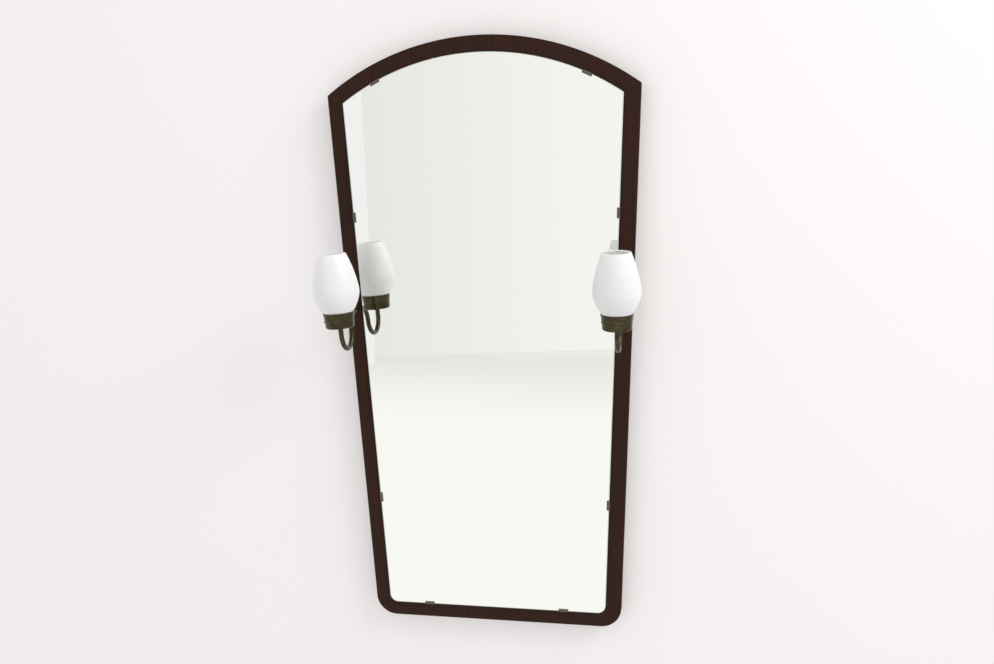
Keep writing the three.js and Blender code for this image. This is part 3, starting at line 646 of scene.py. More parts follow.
def clip_places():
    """Each clip's place on the pane's edge, with the turn about Y that points it outwards."""
    radius = arch_radius - border
    places = []
    for row in clip_rows:
        for side, sign in sides.items():
            centre = middle(f"clip_{row}_{side}_screw")
            if row == "arch":
                turn = math.atan2(centre.x, centre.z - arch_centre)
                place = (radius * math.sin(turn), 0, arch_centre + radius * math.cos(turn))
                places.append((place, (0, turn, 0)))
            elif row == "bottom":
                places.append(((centre.x, 0, board_low.z + border), (0, math.pi, 0)))
            else:
                out = Vector((sign * math.cos(side_slope), 0, -math.sin(side_slope)))
                place = Vector((centre.x, 0, centre.z)) + out * clip_screw_inset
                places.append((place, (0, sign * (math.pi / 2 + side_slope), 0)))
    return places


def nickel_plate():
    """Dull nickel plate on spring steel: grey-yellow metal with fine draw lines and old specks,
    painted dark on the tab's flat face as shade and painted light at its bends as a highlight."""
    material, tree, place = new_finish("dull_nickel_plate")
    line_scale = (1 / nickel_line, 1 / nickel_line, 1 / nickel_line_length)
    lines = node(tree, "ShaderNodeTexNoise", {
        "Vector": node(tree, "ShaderNodeMapping", {"Vector": place, "Scale": line_scale}),
        "Scale": 1, "Detail": 4})
    specks = node(tree, "ShaderNodeTexNoise", {
        "Vector": place, "Scale": 1 / nickel_speck, "Detail": 6})
    spotting = node(tree, "ShaderNodeMapRange", {
        "Value": specks, "From Min": 0.55, "From Max": 0.72})
    # Painted light: the tab's front face takes a dark colour as painted shade, and the strip from
    # its bend back takes a pale colour as a painted highlight.
    tab_face = clip_tab_y - clip_strip / 2
    wear_and_painted_highlight = node(tree, "ShaderNodeMapRange", {
        "Value": node(tree, "ShaderNodeSeparateXYZ", {"Vector": place}).outputs["Y"],
        "From Min": tab_face, "From Max": tab_face + clip_bend})
    plate = node(tree, "ShaderNodeMix", {
        "Factor": wear_and_painted_highlight, "A": linear("#605E55"), "B": linear("#C2BBAF")}, data_type="RGBA")
    colour = node(tree, "ShaderNodeMix", {
        "Factor": spotting, "A": plate, "B": linear("#5E594F")}, data_type="RGBA")
    gloss = node(tree, "ShaderNodeMapRange", {
        "Value": lines, "From Min": 0.3, "From Max": 0.7, "To Min": 0.22, "To Max": 0.38})
    metal = node(tree, "ShaderNodeBsdfPrincipled", {
        "Base Color": colour, "Metallic": 1.0, "Roughness": gloss})
    node(tree, "ShaderNodeOutputMaterial", {"Surface": metal})
    return material


clips = set_at_places("spring_clips", clip_strip_mesh(), clip_places(), nickel_plate())
dressed(clips, "nickel", *clip_names)

# ------------------------------------------------------------------ the wood screws
# Slotted countersunk wood screws of zinc-plated steel: one in each clip's hidden foot, two in
# each batten, two in each hanging plate and one in the terminal block.
screw_head = 0.0035
screw_head_depth = 0.0019
screw_slot_width = 0.0009
screw_slot_depth = 0.0010
screw_tip = 0.003
screw_point_share = 0.55
screw_steps = 32
thread_pitch = 0.0014
thread_depth = 0.0004
threaded_share = 0.7
screw_edge = 0.0001
cut_past = 1.2
zinc_spot = 0.003
at_axis = 1e-7


def turned(profile, steps):
    """A closed mesh turned about Z from a closed profile of (radius, height) points."""
    shell = bmesh.new()
    angles = [2 * math.pi * i / steps for i in range(steps)]
    rings = []
    for radius, height in profile:
        if radius < at_axis:
            rings.append([shell.verts.new((0, 0, height))] * steps)
        else:
            rings.append([
                shell.verts.new((radius * math.cos(a), radius * math.sin(a), height))
                for a in angles])
    solid = profile[0][0] < at_axis and profile[-1][0] < at_axis
    closing = [] if solid else [(rings[-1], rings[0])]
    for low, high in [*zip(rings, rings[1:]), *closing]:
        for i in range(steps):
            corners = dict.fromkeys((low[i - 1], low[i], high[i], high[i - 1]))
            if len(corners) > 2:
                shell.faces.new(list(corners))
    bmesh.ops.recalc_face_normals(shell, faces=shell.faces)
    return plain_mesh(shell)


def slotted(mesh, radius, width, floor, top):
    """The mesh less a screwdriver slot across its axis, between two heights."""
    box = bmesh.new()
    bmesh.ops.create_cube(box, size=1.0)
    cutter = plain_mesh(box)
    low = Vector((-radius * cut_past, -width / 2, floor))
    high = Vector((radius * cut_past, width / 2, top))
    cutter.transform(Matrix.Translation((low + high) / 2) @ Matrix.Diagonal((*(high - low), 1)))
    return less(mesh, cutter)


def wood_screw(length):
    """A slotted countersunk screw with its face at the origin, its point towards -Z and a row of
    thread ridges cut into its shank."""
    run = (length - screw_tip - screw_head_depth) * threaded_share
    profile = [(0, -length), (screw_shank * screw_point_share, screw_tip / 2 - length)]
    height = screw_tip - length
    for _ in range(int(run / thread_pitch)):
        profile.append((screw_shank - thread_depth, height))
        profile.append((screw_shank, height + thread_pitch / 2))
        height += thread_pitch
    profile += [
        (screw_shank, height), (screw_shank, -screw_head_depth),
        (screw_head, -screw_edge), (screw_head - screw_edge, 0), (0, 0),
    ]
    screw = turned(profile, screw_steps)
    return slotted(screw, screw_head, screw_slot_width, -screw_slot_depth, screw_slot_depth)


def zinc_plate():
    """Zinc-plated steel: bluish-grey metal, softly mottled, a little dull with age."""
    material, tree, place = new_finish("zinc_plated_steel")
    cloud = node(tree, "ShaderNodeTexNoise", {
        "Vector": place, "Scale": 1 / zinc_spot, "Detail": 3})
    colour = node(tree, "ShaderNodeMix", {
        "Factor": cloud, "A": linear("#8E8D88"), "B": linear("#BEBCB4")}, data_type="RGBA")
    gloss = node(tree, "ShaderNodeMapRange", {
        "Value": cloud, "From Min": 0.3, "From Max": 0.7, "To Min": 0.42, "To Max": 0.26})
    metal = node(tree, "ShaderNodeBsdfPrincipled", {
        "Base Color": colour, "Metallic": 1.0, "Roughness": gloss})
    node(tree, "ShaderNodeOutputMaterial", {"Surface": metal})
    return material


zinc = zinc_plate()
facing_back = (-math.pi / 2, 0, 0)
facing_front = (math.pi / 2, 0, 0)


def screws(name, names, face_y, turn):
    """One piece holding every screw of a kind, each slot turned its own way."""
    low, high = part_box(names[0])
    places = [((middle(n).x, face_y, middle(n).z), turn) for n in names]
    piece = set_at_places(name, wood_screw(high.y - low.y), places, zinc, math.tau, 7)
    dressed(piece, "steel", *names)


screws("batten_screws", batten_screw_names, cad_high.y, facing_back)
screws("hanger_screws", hanger_screw_names, cad_high.y, facing_back)
block_screw = "terminal_block_screw"
screws("terminal_screw", [block_screw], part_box(block_screw)[1].y, facing_back)
clip_screw_names = [f"{name}_screw" for name in clip_names]
screws("clip_screws", clip_screw_names, clip_foot_y - clip_strip / 2, facing_front)

# ------------------------------------------------------------------ the battens
# Two planed softwood battens, 60 by 14 mm, screwed across the back. They stand the board off
# the wall, and the upper one is let in for the hanging plates.
ring_width = 0.0045
ring_length = 0.35
softwood_fibre = 0.000714
softwood_fibre_length = 0.0303
planed_edge = 0.0008
plate_edge = 0.0003
rounded_from = math.radians(40)
flat_within = math.radians(1)
same_point = 0.00001


def eased(name, source, width, *materials):
    """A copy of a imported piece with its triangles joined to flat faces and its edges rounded."""
    mesh = packed[source].data.copy()
    mesh.materials.clear()
    flat = bmesh.new()
    flat.from_mesh(mesh)
    bmesh.ops.remove_doubles(flat, verts=flat.verts, dist=same_point)
    bmesh.ops.dissolve_limit(
        flat, angle_limit=flat_within, verts=flat.verts, edges=flat.edges)
    flat.to_mesh(mesh)
    flat.free()
    carrier = linked(name, mesh)
    edge = carrier.modifiers.new("eased", "BEVEL")
    edge.width = width
    edge.segments = 2
    edge.limit_method = "ANGLE"
    edge.angle_limit = rounded_from
    return as_piece(name, settled(carrier), *materials)


def planed_softwood():
    """Planed softwood: straw-coloured, with darker year rings running along the batten."""
    material, tree, place = new_finish("planed_softwood")
    ring_scale = (1 / ring_length, 1 / (3 * ring_width), 1 / ring_width)
    ring = node(tree, "ShaderNodeTexNoise", {
        "Vector": node(tree, "ShaderNodeMapping", {"Vector": place, "Scale": ring_scale}),
        "Scale": 1, "Detail": 3, "Distortion": 0.6})
    fibre_scale = (1 / softwood_fibre_length, 1 / softwood_fibre, 1 / softwood_fibre)
    fibre = node(tree, "ShaderNodeTexNoise", {
        "Vector": node(tree, "ShaderNodeMapping", {"Vector": place, "Scale": fibre_scale}),
        "Scale": 1, "Detail": 4})
    year = node(tree, "ShaderNodeMath", {0: ring, 1: 9.0}, operation="MULTIPLY")
    band = node(tree, "ShaderNodeMath", {0: year, 1: 1.0}, operation="PINGPONG")
    late_wood = node(tree, "ShaderNodeMapRange", {
        "Value": band, "From Min": 0.2, "From Max": 1.0})
    ground = node(tree, "ShaderNodeMix", {
        "Factor": late_wood, "A": linear("#C7A272"), "B": linear("#A87C4C")}, data_type="RGBA")
    paling = node(tree, "ShaderNodeMapRange", {
        "Value": fibre, "From Min": 0.4, "From Max": 0.65})
    colour = node(tree, "ShaderNodeMix", {
        "Factor": paling, "A": linear("#B28A5C"), "B": ground}, data_type="RGBA")
    bump = node(tree, "ShaderNodeBump", {"Height": fibre, "Distance": 0.00005})
    wood = node(tree, "ShaderNodeBsdfPrincipled", {
        "Base Color": colour, "Roughness": 0.7, "Normal": bump})
    node(tree, "ShaderNodeOutputMaterial", {"Surface": wood})
    return material


softwood = planed_softwood()
for row in ("upper", "lower"):
    batten = eased(f"{row}_softwood_batten", f"{row}_batten", planed_edge, softwood)
    dressed(batten, "plain_wood", f"{row}_batten")

# ------------------------------------------------------------------ the hanging plates
# Two round-ended plates of zinc-plated steel, 46 by 16 mm, let in flush with the upper batten's
# back. Each has a keyhole that drops over a wall screw's head.
for side in sides:
    plate = eased(f"keyhole_plate_{side}", f"hanger_{side}", plate_edge, zinc)
    dressed(plate, "steel", f"hanger_{side}")

# ------------------------------------------------------------------ the terminal block
# A two-pole block of cream urea resin screwed to the board's back, with a brass sleeve in each
# pole and two slotted clamp screws down each sleeve's wells.
block_low, block_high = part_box("terminal_block")
pole_spacing = 0.009
sleeve_radius = 0.0016
sleeve_bore = 0.0011
sleeve_margin = 0.002
pole_bore_depth = 0.0054
clamp_radius = 0.0016
clamp_inset = 0.006
clamp_top = 0.0012
clamp_length = 0.0030
clamp_edge = 0.00015
clamp_foot_edge = 0.0002
clamp_slot_width = 0.0006
clamp_slot_depth = 0.0008
moulded_edge = 0.0004
tool_ring = 0.000303
tool_ring_width = 0.02
tarnish_spot = 0.004
brass_steps = 28


def turned_brass():
    """Turned brass without a patina: yellow metal with fine tool rings."""
    material, tree, place = new_finish("turned_brass")
    ring_scale = (1 / tool_ring_width, 1 / tool_ring_width, 1 / tool_ring)
    rings = node(tree, "ShaderNodeTexNoise", {
        "Vector": node(tree, "ShaderNodeMapping", {"Vector": place, "Scale": ring_scale}),
        "Scale": 1, "Detail": 2})
    tarnish = node(tree, "ShaderNodeTexNoise", {
        "Vector": place, "Scale": 1 / tarnish_spot, "Detail": 4})
    browning = node(tree, "ShaderNodeMapRange", {
        "Value": tarnish, "From Min": 0.4, "From Max": 0.7})
    colour = node(tree, "ShaderNodeMix", {
        "Factor": browning, "A": linear("#C2A056"), "B": linear("#94773C")}, data_type="RGBA")
    gloss = node(tree, "ShaderNodeMapRange", {
        "Value": rings, "From Min": 0.3, "From Max": 0.7, "To Min": 0.24, "To Max": 0.4})
    metal = node(tree, "ShaderNodeBsdfPrincipled", {
        "Base Color": colour, "Metallic": 1.0, "Roughness": gloss})
    node(tree, "ShaderNodeOutputMaterial", {"Surface": metal})
    return material


def slotted_clamp():
    """A headless slotted clamp screw with its face at the origin."""
    rim = clamp_radius - clamp_edge
    return slotted(turned([
        (0, -clamp_length), (rim, -clamp_length), (clamp_radius, clamp_foot_edge - clamp_length),
        (clamp_radius, -clamp_edge), (rim, 0), (0, 0),
    ], brass_steps), clamp_radius, clamp_slot_width, -clamp_slot_depth, clamp_slot_depth)


# Moulded urea resin: cream, hard and dull-glossed, with the least mottling.
cream_resin = mottled("moulded_urea_resin", 0.006, 2, "#D2C9B2", "#DDD6C3", 0.42, 1.55)
brass = turned_brass()
block = eased("terminal_block_body", "terminal_block", moulded_edge, cream_resin)
dressed(block, "cream_resin", "terminal_block")

block_middle = (block_low + block_high) / 2
half_run = (block_high.x - block_low.x) / 2
sleeve_half = half_run - sleeve_margin
sleeve_y = block_high.y - pole_bore_depth
pole_heights = [block_middle.z - pole_spacing / 2, block_middle.z + pole_spacing / 2]
sleeve = turned([
    (sleeve_bore, -sleeve_half), (sleeve_radius, -sleeve_half),
    (sleeve_radius, sleeve_half), (sleeve_bore, sleeve_half)], brass_steps)
sleeve_places = [((0, sleeve_y, height), (0, math.pi / 2, 0)) for height in pole_heights]
sleeves = set_at_places("terminal_sleeves", sleeve, sleeve_places, brass)
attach(sleeves, "mirror")
clamp_places = [
    ((sign * (half_run - clamp_inset), block_high.y - clamp_top, height), facing_back)
    for sign in (-1, 1) for height in pole_heights
]
clamps = set_at_places("terminal_clamp_screws", slotted_clamp(), clamp_places, zinc, math.tau, 3)
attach(clamps, "mirror")

# ------------------------------------------------------------------ the swan-neck arms
# Brass tube, 9 mm across with a 1.2 mm wall, bent forward, down and round into an upright end.
# Each is threaded at its root and held by a nut and a washer behind the board; patina has
# turned it olive brown.
arm_wall = 0.0012
arm_reach = 0.0256
arm_bend = 0.0296
arm_straight = 0.0145
arm_end = 0.009
arm_back = 0.0254
arm_turn = {"left": math.radians(-3.6), "right": 0.0}
arm_swing = {"left": math.radians(1.5), "right": 0.0}
cup_lean = {"left": math.radians(0.3), "right": math.radians(3.1)}
arm_points = 140
arm_sides = 28
patina_cloud = 0.0125
patina_cloud_height = 0.00909
patina_pit = 0.0009


def swan_neck(distance, lean, swing):
    """A point on a tube's line, at a distance from its root end. Past the straight run at the
    root, the bend swings a little out of true, and it ends with the lean of its cup."""
    first = arm_back + arm_reach
    second = first + arm_bend * math.pi / 2
    third = second + arm_bend * (math.pi - lean)
    if distance <= first:
        return Vector((0, arm_back - distance, 0))
    if distance <= second:
        turn = (distance - first) / arm_bend
        forward = arm_bend * math.sin(turn)
        height = arm_bend * (math.cos(turn) - 1)
    elif distance <= third:
        turn = (distance - second) / arm_bend
        forward = arm_bend * (2 - math.cos(turn))
        height = -arm_bend * (1 + math.sin(turn))
    else:
        forward = arm_bend * (2 + math.cos(lean)) + (distance - third) * math.sin(lean)
        height = (distance - third) * math.cos(lean) - arm_bend * (1 + math.sin(lean))
    return Vector((forward * math.sin(swing), -arm_reach - forward * math.cos(swing), height))


def tube_along(name, line, radius, wall, material):
    """Geometry nodes that run a round tube along a line, then give it its wall."""
    tree, identifiers = node_group(
        name, Line="Geometry", Radius="Float", Sides="Int", Finish="Material")
    given = node(tree, "NodeGroupInput").outputs
    path = node(tree, "GeometryNodeMeshToCurve", {"Mesh": given["Line"]})
    ring = node(tree, "GeometryNodeCurvePrimitiveCircle", {
        "Resolution": given["Sides"], "Radius": given["Radius"]})
    skin = node(tree, "GeometryNodeCurveToMesh", {"Curve": path, "Profile Curve": ring})
    real = node(tree, "GeometryNodeRealizeInstances", {"Geometry": skin})
    made = node(
        tree, "GeometryNodeSetMaterial", {"Geometry": real, "Material": given["Finish"]})
    node(tree, "NodeGroupOutput", {0: made})

    mesh = bpy.data.meshes.new(name)
    mesh.from_pydata(line, [(i, i + 1) for i in range(len(line) - 1)], [])
    carrier = with_nodes(
        name, mesh, tree, identifiers, Radius=radius, Sides=arm_sides, Finish=material)
    thickness = carrier.modifiers.new("wall", "SOLIDIFY")
    thickness.thickness = wall
    thickness.offset = -1
    return settled(carrier)


def patinated_brass():
    """Old brass under a brown and olive patina: rubbed paler in places, dark in others, with a
    satin shine and small pits."""
    material, tree, place = new_finish("patinated_brass")
    cloud_scale = (1 / patina_cloud, 1 / patina_cloud, 1 / patina_cloud_height)
    cloud = node(tree, "ShaderNodeTexNoise", {
        "Vector": node(tree, "ShaderNodeMapping", {"Vector": place, "Scale": cloud_scale}),
        "Scale": 1, "Detail": 5, "Distortion": 0.5})
    pits = node(tree, "ShaderNodeTexNoise", {
        "Vector": place, "Scale": 1 / patina_pit, "Detail": 3})
    wear_and_painted_highlight = node(tree, "ShaderNodeMapRange", {
        "Value": cloud, "From Min": 0.35, "From Max": 0.65})
    ground = node(tree, "ShaderNodeMix", {
        "Factor": wear_and_painted_highlight, "A": linear("#3F3929"), "B": linear("#5E563B")}, data_type="RGBA")
    filling = node(tree, "ShaderNodeMapRange", {
        "Value": pits, "From Min": 0.35, "From Max": 0.6})
    colour = node(tree, "ShaderNodeMix", {
        "Factor": filling, "A": linear("#37322A"), "B": ground}, data_type="RGBA")
    gloss = node(tree, "ShaderNodeMapRange", {
        "Value": cloud, "From Min": 0.3, "From Max": 0.7, "To Min": 0.34, "To Max": 0.24})
    bump = node(tree, "ShaderNodeBump", {"Height": pits, "Distance": 0.00002})
    metal = node(tree, "ShaderNodeBsdfPrincipled", {
        "Base Color": colour, "Metallic": 1.0, "Roughness": gloss, "Normal": bump})
    node(tree, "ShaderNodeOutputMaterial", {"Surface": metal})
    return material


patina = patinated_brass()
arm_root = {}
cup_foot = {}
for side in sides:
    collar = middle(f"{side}_arm_collar")
    at_board = Matrix.Translation((collar.x, board_low.y, collar.z))
    arm_root[side] = at_board @ Matrix.Rotation(arm_turn[side], 4, "Y")
    lean, swing = cup_lean[side], arm_swing[side]
    straight = arm_back + arm_reach + arm_straight + arm_end
    arm_run = straight + arm_bend * (1.5 * math.pi - lean)
    cup_foot[side] = (
        arm_root[side]
        @ Matrix.Translation(swan_neck(arm_run - arm_end, lean, swing))
        @ Matrix.Rotation(swing, 4, "Z")
        @ Matrix.Rotation(lean, 4, "X")
    )
    line = [swan_neck(arm_run * i / arm_points, lean, swing) for i in range(arm_points + 1)]
    tube = tube_along(f"{side}_tube", line, arm_radius, arm_wall, patina)
    tube.transform(arm_root[side])
    dressed(as_piece(f"{side}_swan_neck", tube), "aged_brass", f"{side}_arm")

# ------------------------------------------------------------------ collars, washers and nuts
# A small turned brass collar seats each arm on the board's face. Behind the board a steel
# washer and a hexagon brass nut pull it tight.
fit = arm_radius + seat_gap
collar_radius = 0.0065
collar_length = 0.004
collar_nose = 0.0012
washer_radius = 0.009
washer_thickness = 0.0015
washer_edge = 0.0002
nut_half = 0.007
nut_chamfer_start = 1.03
nut_thickness = 0.005
collar_steps = 48
nut_chamfer = math.tan(math.radians(30))
front_of_board = Matrix.Rotation(math.pi / 2, 4, "X")
behind_board = Matrix.Rotation(-math.pi / 2, 4, "X")


def hexagon_nut(thickness, steps_a_side=12):
    """A hexagon nut standing on Z = 0, with both ends chamfered by a cone and a round bore."""
    steps = 6 * steps_a_side
    cone = nut_half * nut_chamfer_start
    body = bmesh.new()
    loops = [[], [], [], [], [], []]
    for i in range(steps):
        turn = 2 * math.pi * i / steps
        within = (turn + math.pi / 6) % (math.pi / 3) - math.pi / 6
        reach = nut_half / math.cos(within)
        ease = max(0.0, reach - cone) * nut_chamfer
        inner = min(reach, cone)
        for loop, (radius, height) in zip(loops, (
            (fit, 0), (inner, 0), (reach, ease),
            (reach, thickness - ease), (inner, thickness), (fit, thickness),
        )):
            loop.append(body.verts.new((radius * math.cos(turn), radius * math.sin(turn), height)))
    for low, high in [*zip(loops, loops[1:]), (loops[-1], loops[0])]:
        for i in range(steps):
            body.faces.new((low[i - 1], low[i], high[i], high[i - 1]))
    bmesh.ops.remove_doubles(body, verts=body.verts, dist=same_point / 10)
    bmesh.ops.recalc_face_normals(body, faces=body.faces)
    return plain_mesh(body)


def rounding(radius, height, size, start, end, steps=5):
    """Points of a small rounding on a profile, about a centre, between two angles in degrees."""
    return arc(radius, height, size, math.radians(start), math.radians(end), steps)


for side in sides:
    at_face = arm_root[side]
    nose = rounding(collar_radius - collar_nose, collar_length - collar_nose, collar_nose, 0, 90)
    collar = turned([(fit, 0), (collar_radius, 0), *nose, (fit, collar_length)], collar_steps)
    collar.transform(at_face @ Matrix.Translation((0, -seat_gap, 0)) @ front_of_board)
    dressed(as_piece(f"{side}_collar", collar, patina), "aged_brass", f"{side}_arm_collar")
    back = Matrix.Translation((0, board_high.y - board_low.y + seat_gap, 0))
    outer = washer_radius - washer_edge
    washer = turned([
        (fit, 0), (outer, 0), (washer_radius, washer_edge),
        (washer_radius, washer_thickness - washer_edge), (outer, washer_thickness),
        (fit, washer_thickness)], collar_steps)
    washer.transform(at_face @ back @ behind_board)
    dressed(as_piece(f"{side}_washer", washer, zinc), "steel", f"{side}_arm_washer")
    nut = hexagon_nut(nut_thickness)
    past_washer = Matrix.Translation((0, washer_thickness + seat_gap, 0))
    nut.transform(at_face @ back @ past_washer @ behind_board)
    dressed(as_piece(f"{side}_root_nut", nut, brass), "clean_brass", f"{side}_arm_nut")

# ------------------------------------------------------------------ the gallery cups
# Spun brass cups with a rounded foot and a wall that flares to an open rim, clamped to the arm
# by a nut inside and patinated like the arms. Three small slotted screws grip the shade.
cup_base = 0.026
cup_rim = 0.0285
cup_height = 0.0281
cup_wall = 0.0012
cup_edge = 0.003
cup_flare = 1.5
cup_nut_thickness = 0.004
grip_height = 0.012
grip_shank = 0.0015
grip_head = 0.0019
grip_head_length = 0.0013
grip_slot = 0.0005
grip_edge = 0.0003
grip_steps = 40
cup_steps = 16
drill_reach = 0.004
grip_turn = {"left": 38, "right": 21}
neck_radius = 0.0215
lathe_steps = 96


def cup_radius(height):
    """The cup's outer radius at a height on its wall."""
    share = max(0.0, (height - cup_edge) / (cup_height - cup_edge))
    return cup_base + (cup_rim - cup_base) * share ** cup_flare


def cup_profile():
    """The cup's wall all round: foot, edge, flare, rolled rim and lining."""
    foot = rounding(cup_base - cup_edge, cup_edge, cup_edge, -90, 0, 8)
    run = cup_height - cup_wall / 2 - cup_edge
    heights = [cup_edge + run * i / cup_steps for i in range(1, cup_steps + 1)]
    outer = [(cup_radius(height), height) for height in heights]
    rim = rounding(outer[-1][0] - cup_wall / 2, outer[-1][1], cup_wall / 2, 0, 180, 8)[1:-1]
    inner = [(radius - cup_wall, height) for radius, height in reversed(outer)]
    hollow = rounding(cup_base - cup_edge, cup_edge, cup_edge - cup_wall, 0, -90, 6)
    return [(fit, 0), *foot, *outer, *rim, *inner, *hollow, (fit, cup_wall)]


def grip_screw():
    """A slotted cheese-head screw along +Z, with its tip at the shade's neck and its low head on
    the cup's wall."""
    tip = neck_radius + seat_gap
    foot = cup_radius(grip_height) + seat_gap
    top = foot + grip_head_length
    return slotted(turned([
        (0, tip), (grip_shank - grip_edge, tip), (grip_shank, tip + grip_edge),
        (grip_shank, foot), (grip_head, foot), (grip_head, top - grip_edge),
        (grip_head - grip_edge, top), (0, top),
    ], grip_steps), grip_head, grip_slot, top - grip_slot, top + grip_slot)


for side in sides:
    turns = [math.radians(grip_turn[side] + 120 * i) for i in range(3)]
    outwards = [Vector((math.sin(turn), -math.cos(turn), 0)) for turn in turns]
    holes = []
    for out in outwards:
        start = out * (cup_base - drill_reach) + Vector((0, 0, grip_height))
        end = out * (cup_rim + drill_reach) + Vector((0, 0, grip_height))
        holes.append((start, end, grip_shank + seat_gap))
    cup = drilled(turned(cup_profile(), lathe_steps), holes)
    cup.transform(cup_foot[side])
    dressed(as_piece(f"{side}_gallery_cup", cup, patina), "aged_brass", f"{side}_cup")

    places = [((0, 0, grip_height), out.to_track_quat("Z", "Y").to_euler()) for out in outwards]
    grips = set_at_places(f"{side}_grip_screws", grip_screw(), places, patina, math.tau, 5)
    grips.data.transform(cup_foot[side])
    names = [f"{side}_gallery_screw_{i}" for i in (1, 2, 3)]
    dressed(grips, "aged_brass", *names)

    nut = hexagon_nut(cup_nut_thickness)
    nut.transform(cup_foot[side] @ Matrix.Translation((0, 0, cup_wall + seat_gap)))
    dressed(as_piece(f"{side}_cup_clamp_nut", nut, brass), "clean_brass", f"{side}_cup_nut")

# ------------------------------------------------------------------ the opal shades
# Mould-blown opal glass, 2.2 mm thick: a straight neck stands in the cup, the bowl swells to
# 84 mm across and draws in to an open top with a fire-polished rim. The outside is satin.
shade_radius = 0.0419
shade_widest = 0.0655
shade_top = 0.1336
shade_top_radius = 0.0253
shade_wall = 0.0022
shade_lower = 1.75
shade_upper = 1.55
shade_steps = 60
opal_depth = 0.004
opal_cloud = 0.0303
opal_cloud_height = 0.05


def shade_outline(height):
    """The shade's outer radius at a height above the cup's foot."""
    if height >= shade_widest:
        share = (height - shade_widest) / (shade_top - shade_widest)
        return shade_radius - (shade_radius - shade_top_radius) * share ** shade_upper
    seat = cup_rim - cup_wall - seat_gap
    share = (shade_widest - height) / (shade_widest - cup_height)
    return shade_radius - (shade_radius - seat) * share ** shade_lower


def shade_profile():
    """The glass all round: neck, bowl, rolled rim and lining."""
    foot = cup_wall + seat_gap
    neck_top = cup_height - (cup_rim - cup_wall - seat_gap - neck_radius)
    half = shade_wall / 2
    run = shade_top - half - cup_height
    heights = [cup_height + run * i / shade_steps for i in range(shade_steps + 1)]
    outer = [(shade_outline(height), height) for height in heights]
    rim = rounding(outer[-1][0] - half, outer[-1][1], half, 0, 180, 8)[1:-1]
    inner = [(radius - shade_wall, height) for radius, height in reversed(outer[4:])]
    bore = neck_radius - shade_wall
    lip = rounding(neck_radius - half, foot + half, half, -90, 0, 4)
    return [
        (bore, foot + half), *lip, (neck_radius, neck_top), *outer, *rim, *inner,
        (bore, neck_top + shade_wall)]


def opal_glass():
    """Opal glass with a satin outside: white through and through, softly lit from within its
    wall, with a broad faint sheen."""
    material, tree, place = new_finish("satin_opal_glass")
    cloud_scale = (1 / opal_cloud, 1 / opal_cloud, 1 / opal_cloud_height)
    cloud = node(tree, "ShaderNodeTexNoise", {
        "Vector": node(tree, "ShaderNodeMapping", {"Vector": place, "Scale": cloud_scale}),
        "Scale": 1, "Detail": 2})
    colour = node(tree, "ShaderNodeMix", {
        "Factor": cloud, "A": linear("#F9F6F3"), "B": linear("#FDFBF8")}, data_type="RGBA")
    glass = node(tree, "ShaderNodeBsdfPrincipled", {
        "Base Color": colour, "Roughness": 0.34, "IOR": 1.5, "Specular IOR Level": 0.4,
        "Subsurface Weight": 1.0, "Subsurface Radius": (1.0, 1.0, 1.0),
        "Subsurface Scale": opal_depth})
    node(tree, "ShaderNodeOutputMaterial", {"Surface": glass})
    return material


opal = opal_glass()
for side in sides:
    shade = turned(shade_profile(), lathe_steps)
    shade.transform(cup_foot[side])
    shade = as_piece(f"{side}_opal_shade", shade, opal)
    dressed(shade, "opal_glass", f"{side}_shade", body=f"{side}_shade")

# ------------------------------------------------------------------ lampholders and bulbs
# In each cup a phenolic lampholder stands on the clamp nut, with a brass screw shell in its
# mouth. A frosted candle bulb is screwed into it.
holder_radius = 0.0125
holder_foot = cup_wall + cup_nut_thickness + 2 * seat_gap
holder_height = 0.036
holder_top = holder_foot + holder_height
holder_base = 0.006
shell_chamber = 0.009
shell_seat = holder_foot + holder_base + shell_chamber
shell_radius = 0.0078
shell_wall = 0.0006
holder_ring_gap = 0.004
cap_radius = shell_radius - shell_wall - seat_gap
cap_lift = 0.001
cap_foot = shell_seat + seat_gap + cap_lift
flange_radius = 0.0086
flange_height = 0.002
contact_radius = 0.003
contact_length = 0.002
bulb_radius = 0.0175
bulb_widest = 0.026
bulb_length = 0.072
bulb_wall = 0.0009
bulb_taper = 1.8
bulb_tip = 0.8
bulb_steps = 48
holder_edge = 0.0005
holder_mouth = 0.001
holder_ring_depth = 0.0004
shell_pitch = 0.0028
shell_thread = 0.0002
cap_wall = 0.0004
cap_thread = 0.0005
cap_thread_start = 0.002
cap_thread_end = 0.001
fitting_steps = 64
least_radius = 0.0002


def bulb_outline(height):
    """The candle bulb's radius at a height above its cap."""
    if height >= bulb_widest:
        share = (height - bulb_widest) / (bulb_length - bulb_widest)
        return bulb_radius * max(0.0, 1 - share ** bulb_taper) ** bulb_tip
    mouth = flange_radius - bulb_wall / 2
    return mouth + (bulb_radius - mouth) * math.sin(math.pi / 2 * height / bulb_widest)


def holder_profile():
    """The lampholder's body: a base, a skirt with shallow rings and a chamber for the shell."""
    ledge = shell_radius - shell_wall - holder_mouth
    groove = holder_radius - holder_ring_depth
    skirt = []
    height = holder_foot + holder_base
    while height < holder_top - 2 * holder_ring_gap:
        skirt += [
            (holder_radius, height), (groove, height + holder_ring_depth),
            (groove, height + 3 * holder_ring_depth),
            (holder_radius, height + 4 * holder_ring_depth)]
        height += holder_ring_gap
    mouth = rounding(holder_radius - holder_mouth, holder_top - holder_mouth, holder_mouth, 0, 90)
    return [
        (fit, holder_foot), (holder_radius - holder_edge, holder_foot),
        (holder_radius, holder_foot + holder_edge), *skirt, *mouth,
        (shell_radius + seat_gap, holder_top), (shell_radius + seat_gap, shell_seat),
        (ledge, shell_seat), (ledge, holder_foot + holder_base), (fit, holder_foot + holder_base),
    ]


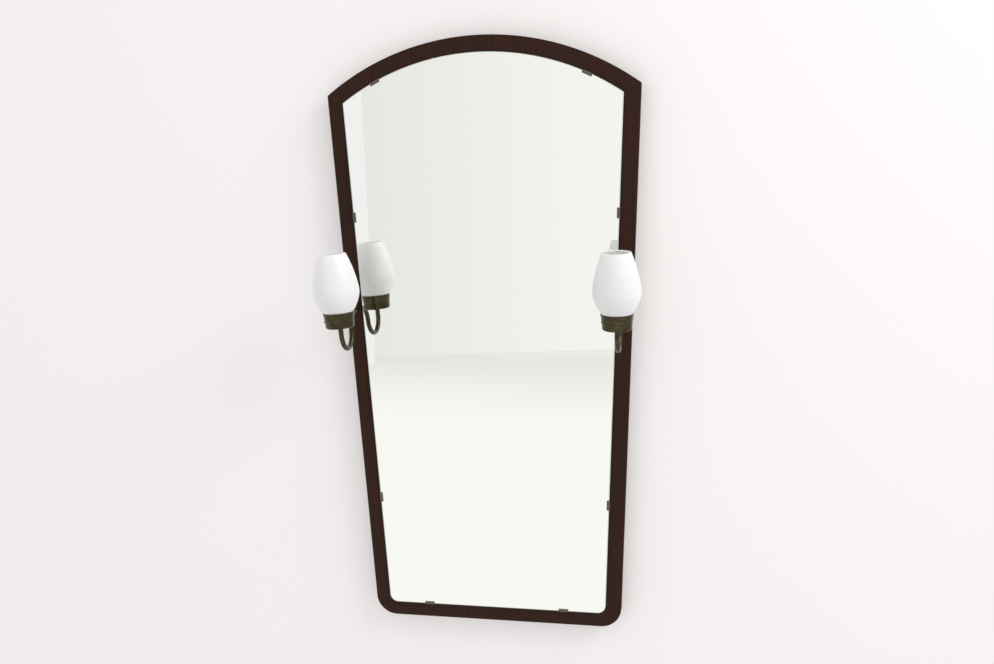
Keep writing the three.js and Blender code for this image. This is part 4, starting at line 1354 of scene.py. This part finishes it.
def rolled(foot, top, radius, wall, pitch, depth):
    """A thin shell's profile with a rolled thread between two heights."""
    steps = max(8, int((top - foot) / pitch * 8))
    outer = []
    for i in range(steps + 1):
        height = foot + (top - foot) * i / steps
        dip = 1 - math.cos(2 * math.pi * (height - foot) / pitch)
        outer.append((radius - depth / 2 * dip, height))
    return [*outer, *[(r - wall, height) for r, height in reversed(outer)]]


# Moulded phenolic resin: near-black brown with a deep gloss and a faint wood-flour mottle.
phenolic = mottled("moulded_phenolic_resin", 0.002, 4, "#1B1512", "#2D2019", 0.24, 1.6)
# A frosted bulb: pearly white glass with an even, dull shine.
frosted = mottled("frosted_bulb_glass", 0.012, 2, "#E9E6DE", "#F3F1EA", 0.45, 1.5)

for side in sides:
    holder = turned(holder_profile(), fitting_steps)
    shell = turned(rolled(
        shell_seat + seat_gap, holder_top,
        shell_radius, shell_wall, shell_pitch, shell_thread), fitting_steps)
    flange_foot = holder_top + seat_gap
    flange_top = flange_foot + flange_height
    thread = rolled(
        cap_foot + cap_thread_start, flange_foot - cap_thread_end,
        cap_radius, cap_wall, shell_pitch, cap_thread)
    cap = turned([
        (0, cap_foot - contact_length), (contact_radius, cap_foot - contact_length),
        (contact_radius, cap_foot), *thread[:len(thread) // 2], (flange_radius, flange_foot),
        (flange_radius, flange_top), (0, flange_top)], fitting_steps)
    glass_foot = flange_top + seat_gap
    shares = [(1 - math.cos(math.pi * i / bulb_steps)) / 2 for i in range(bulb_steps)]
    skin = [
        (bulb_outline(bulb_length * share), glass_foot + bulb_length * share)
        for share in shares]
    tip = glass_foot + bulb_length
    lining = [
        (max(radius - bulb_wall, least_radius), height)
        for radius, height in reversed(skin[:-3])]
    bulb = turned([*skin, (0, tip), (0, tip - 2 * bulb_wall), *lining], fitting_steps)
    for name, mesh, finish, slot, stands_for in (
        ("phenolic_holder", holder, phenolic, "black_resin", "lampholder"),
        ("screw_shell", shell, brass, "clean_brass", "thread_shell"),
        ("screw_cap", cap, brass, "clean_brass", "bulb_cap"),
        ("candle_bulb", bulb, frosted, "bulb_glass", "bulb"),
    ):
        mesh.transform(cup_foot[side])
        dressed(as_piece(f"{side}_{name}", mesh, finish), slot, f"{side}_{stands_for}")
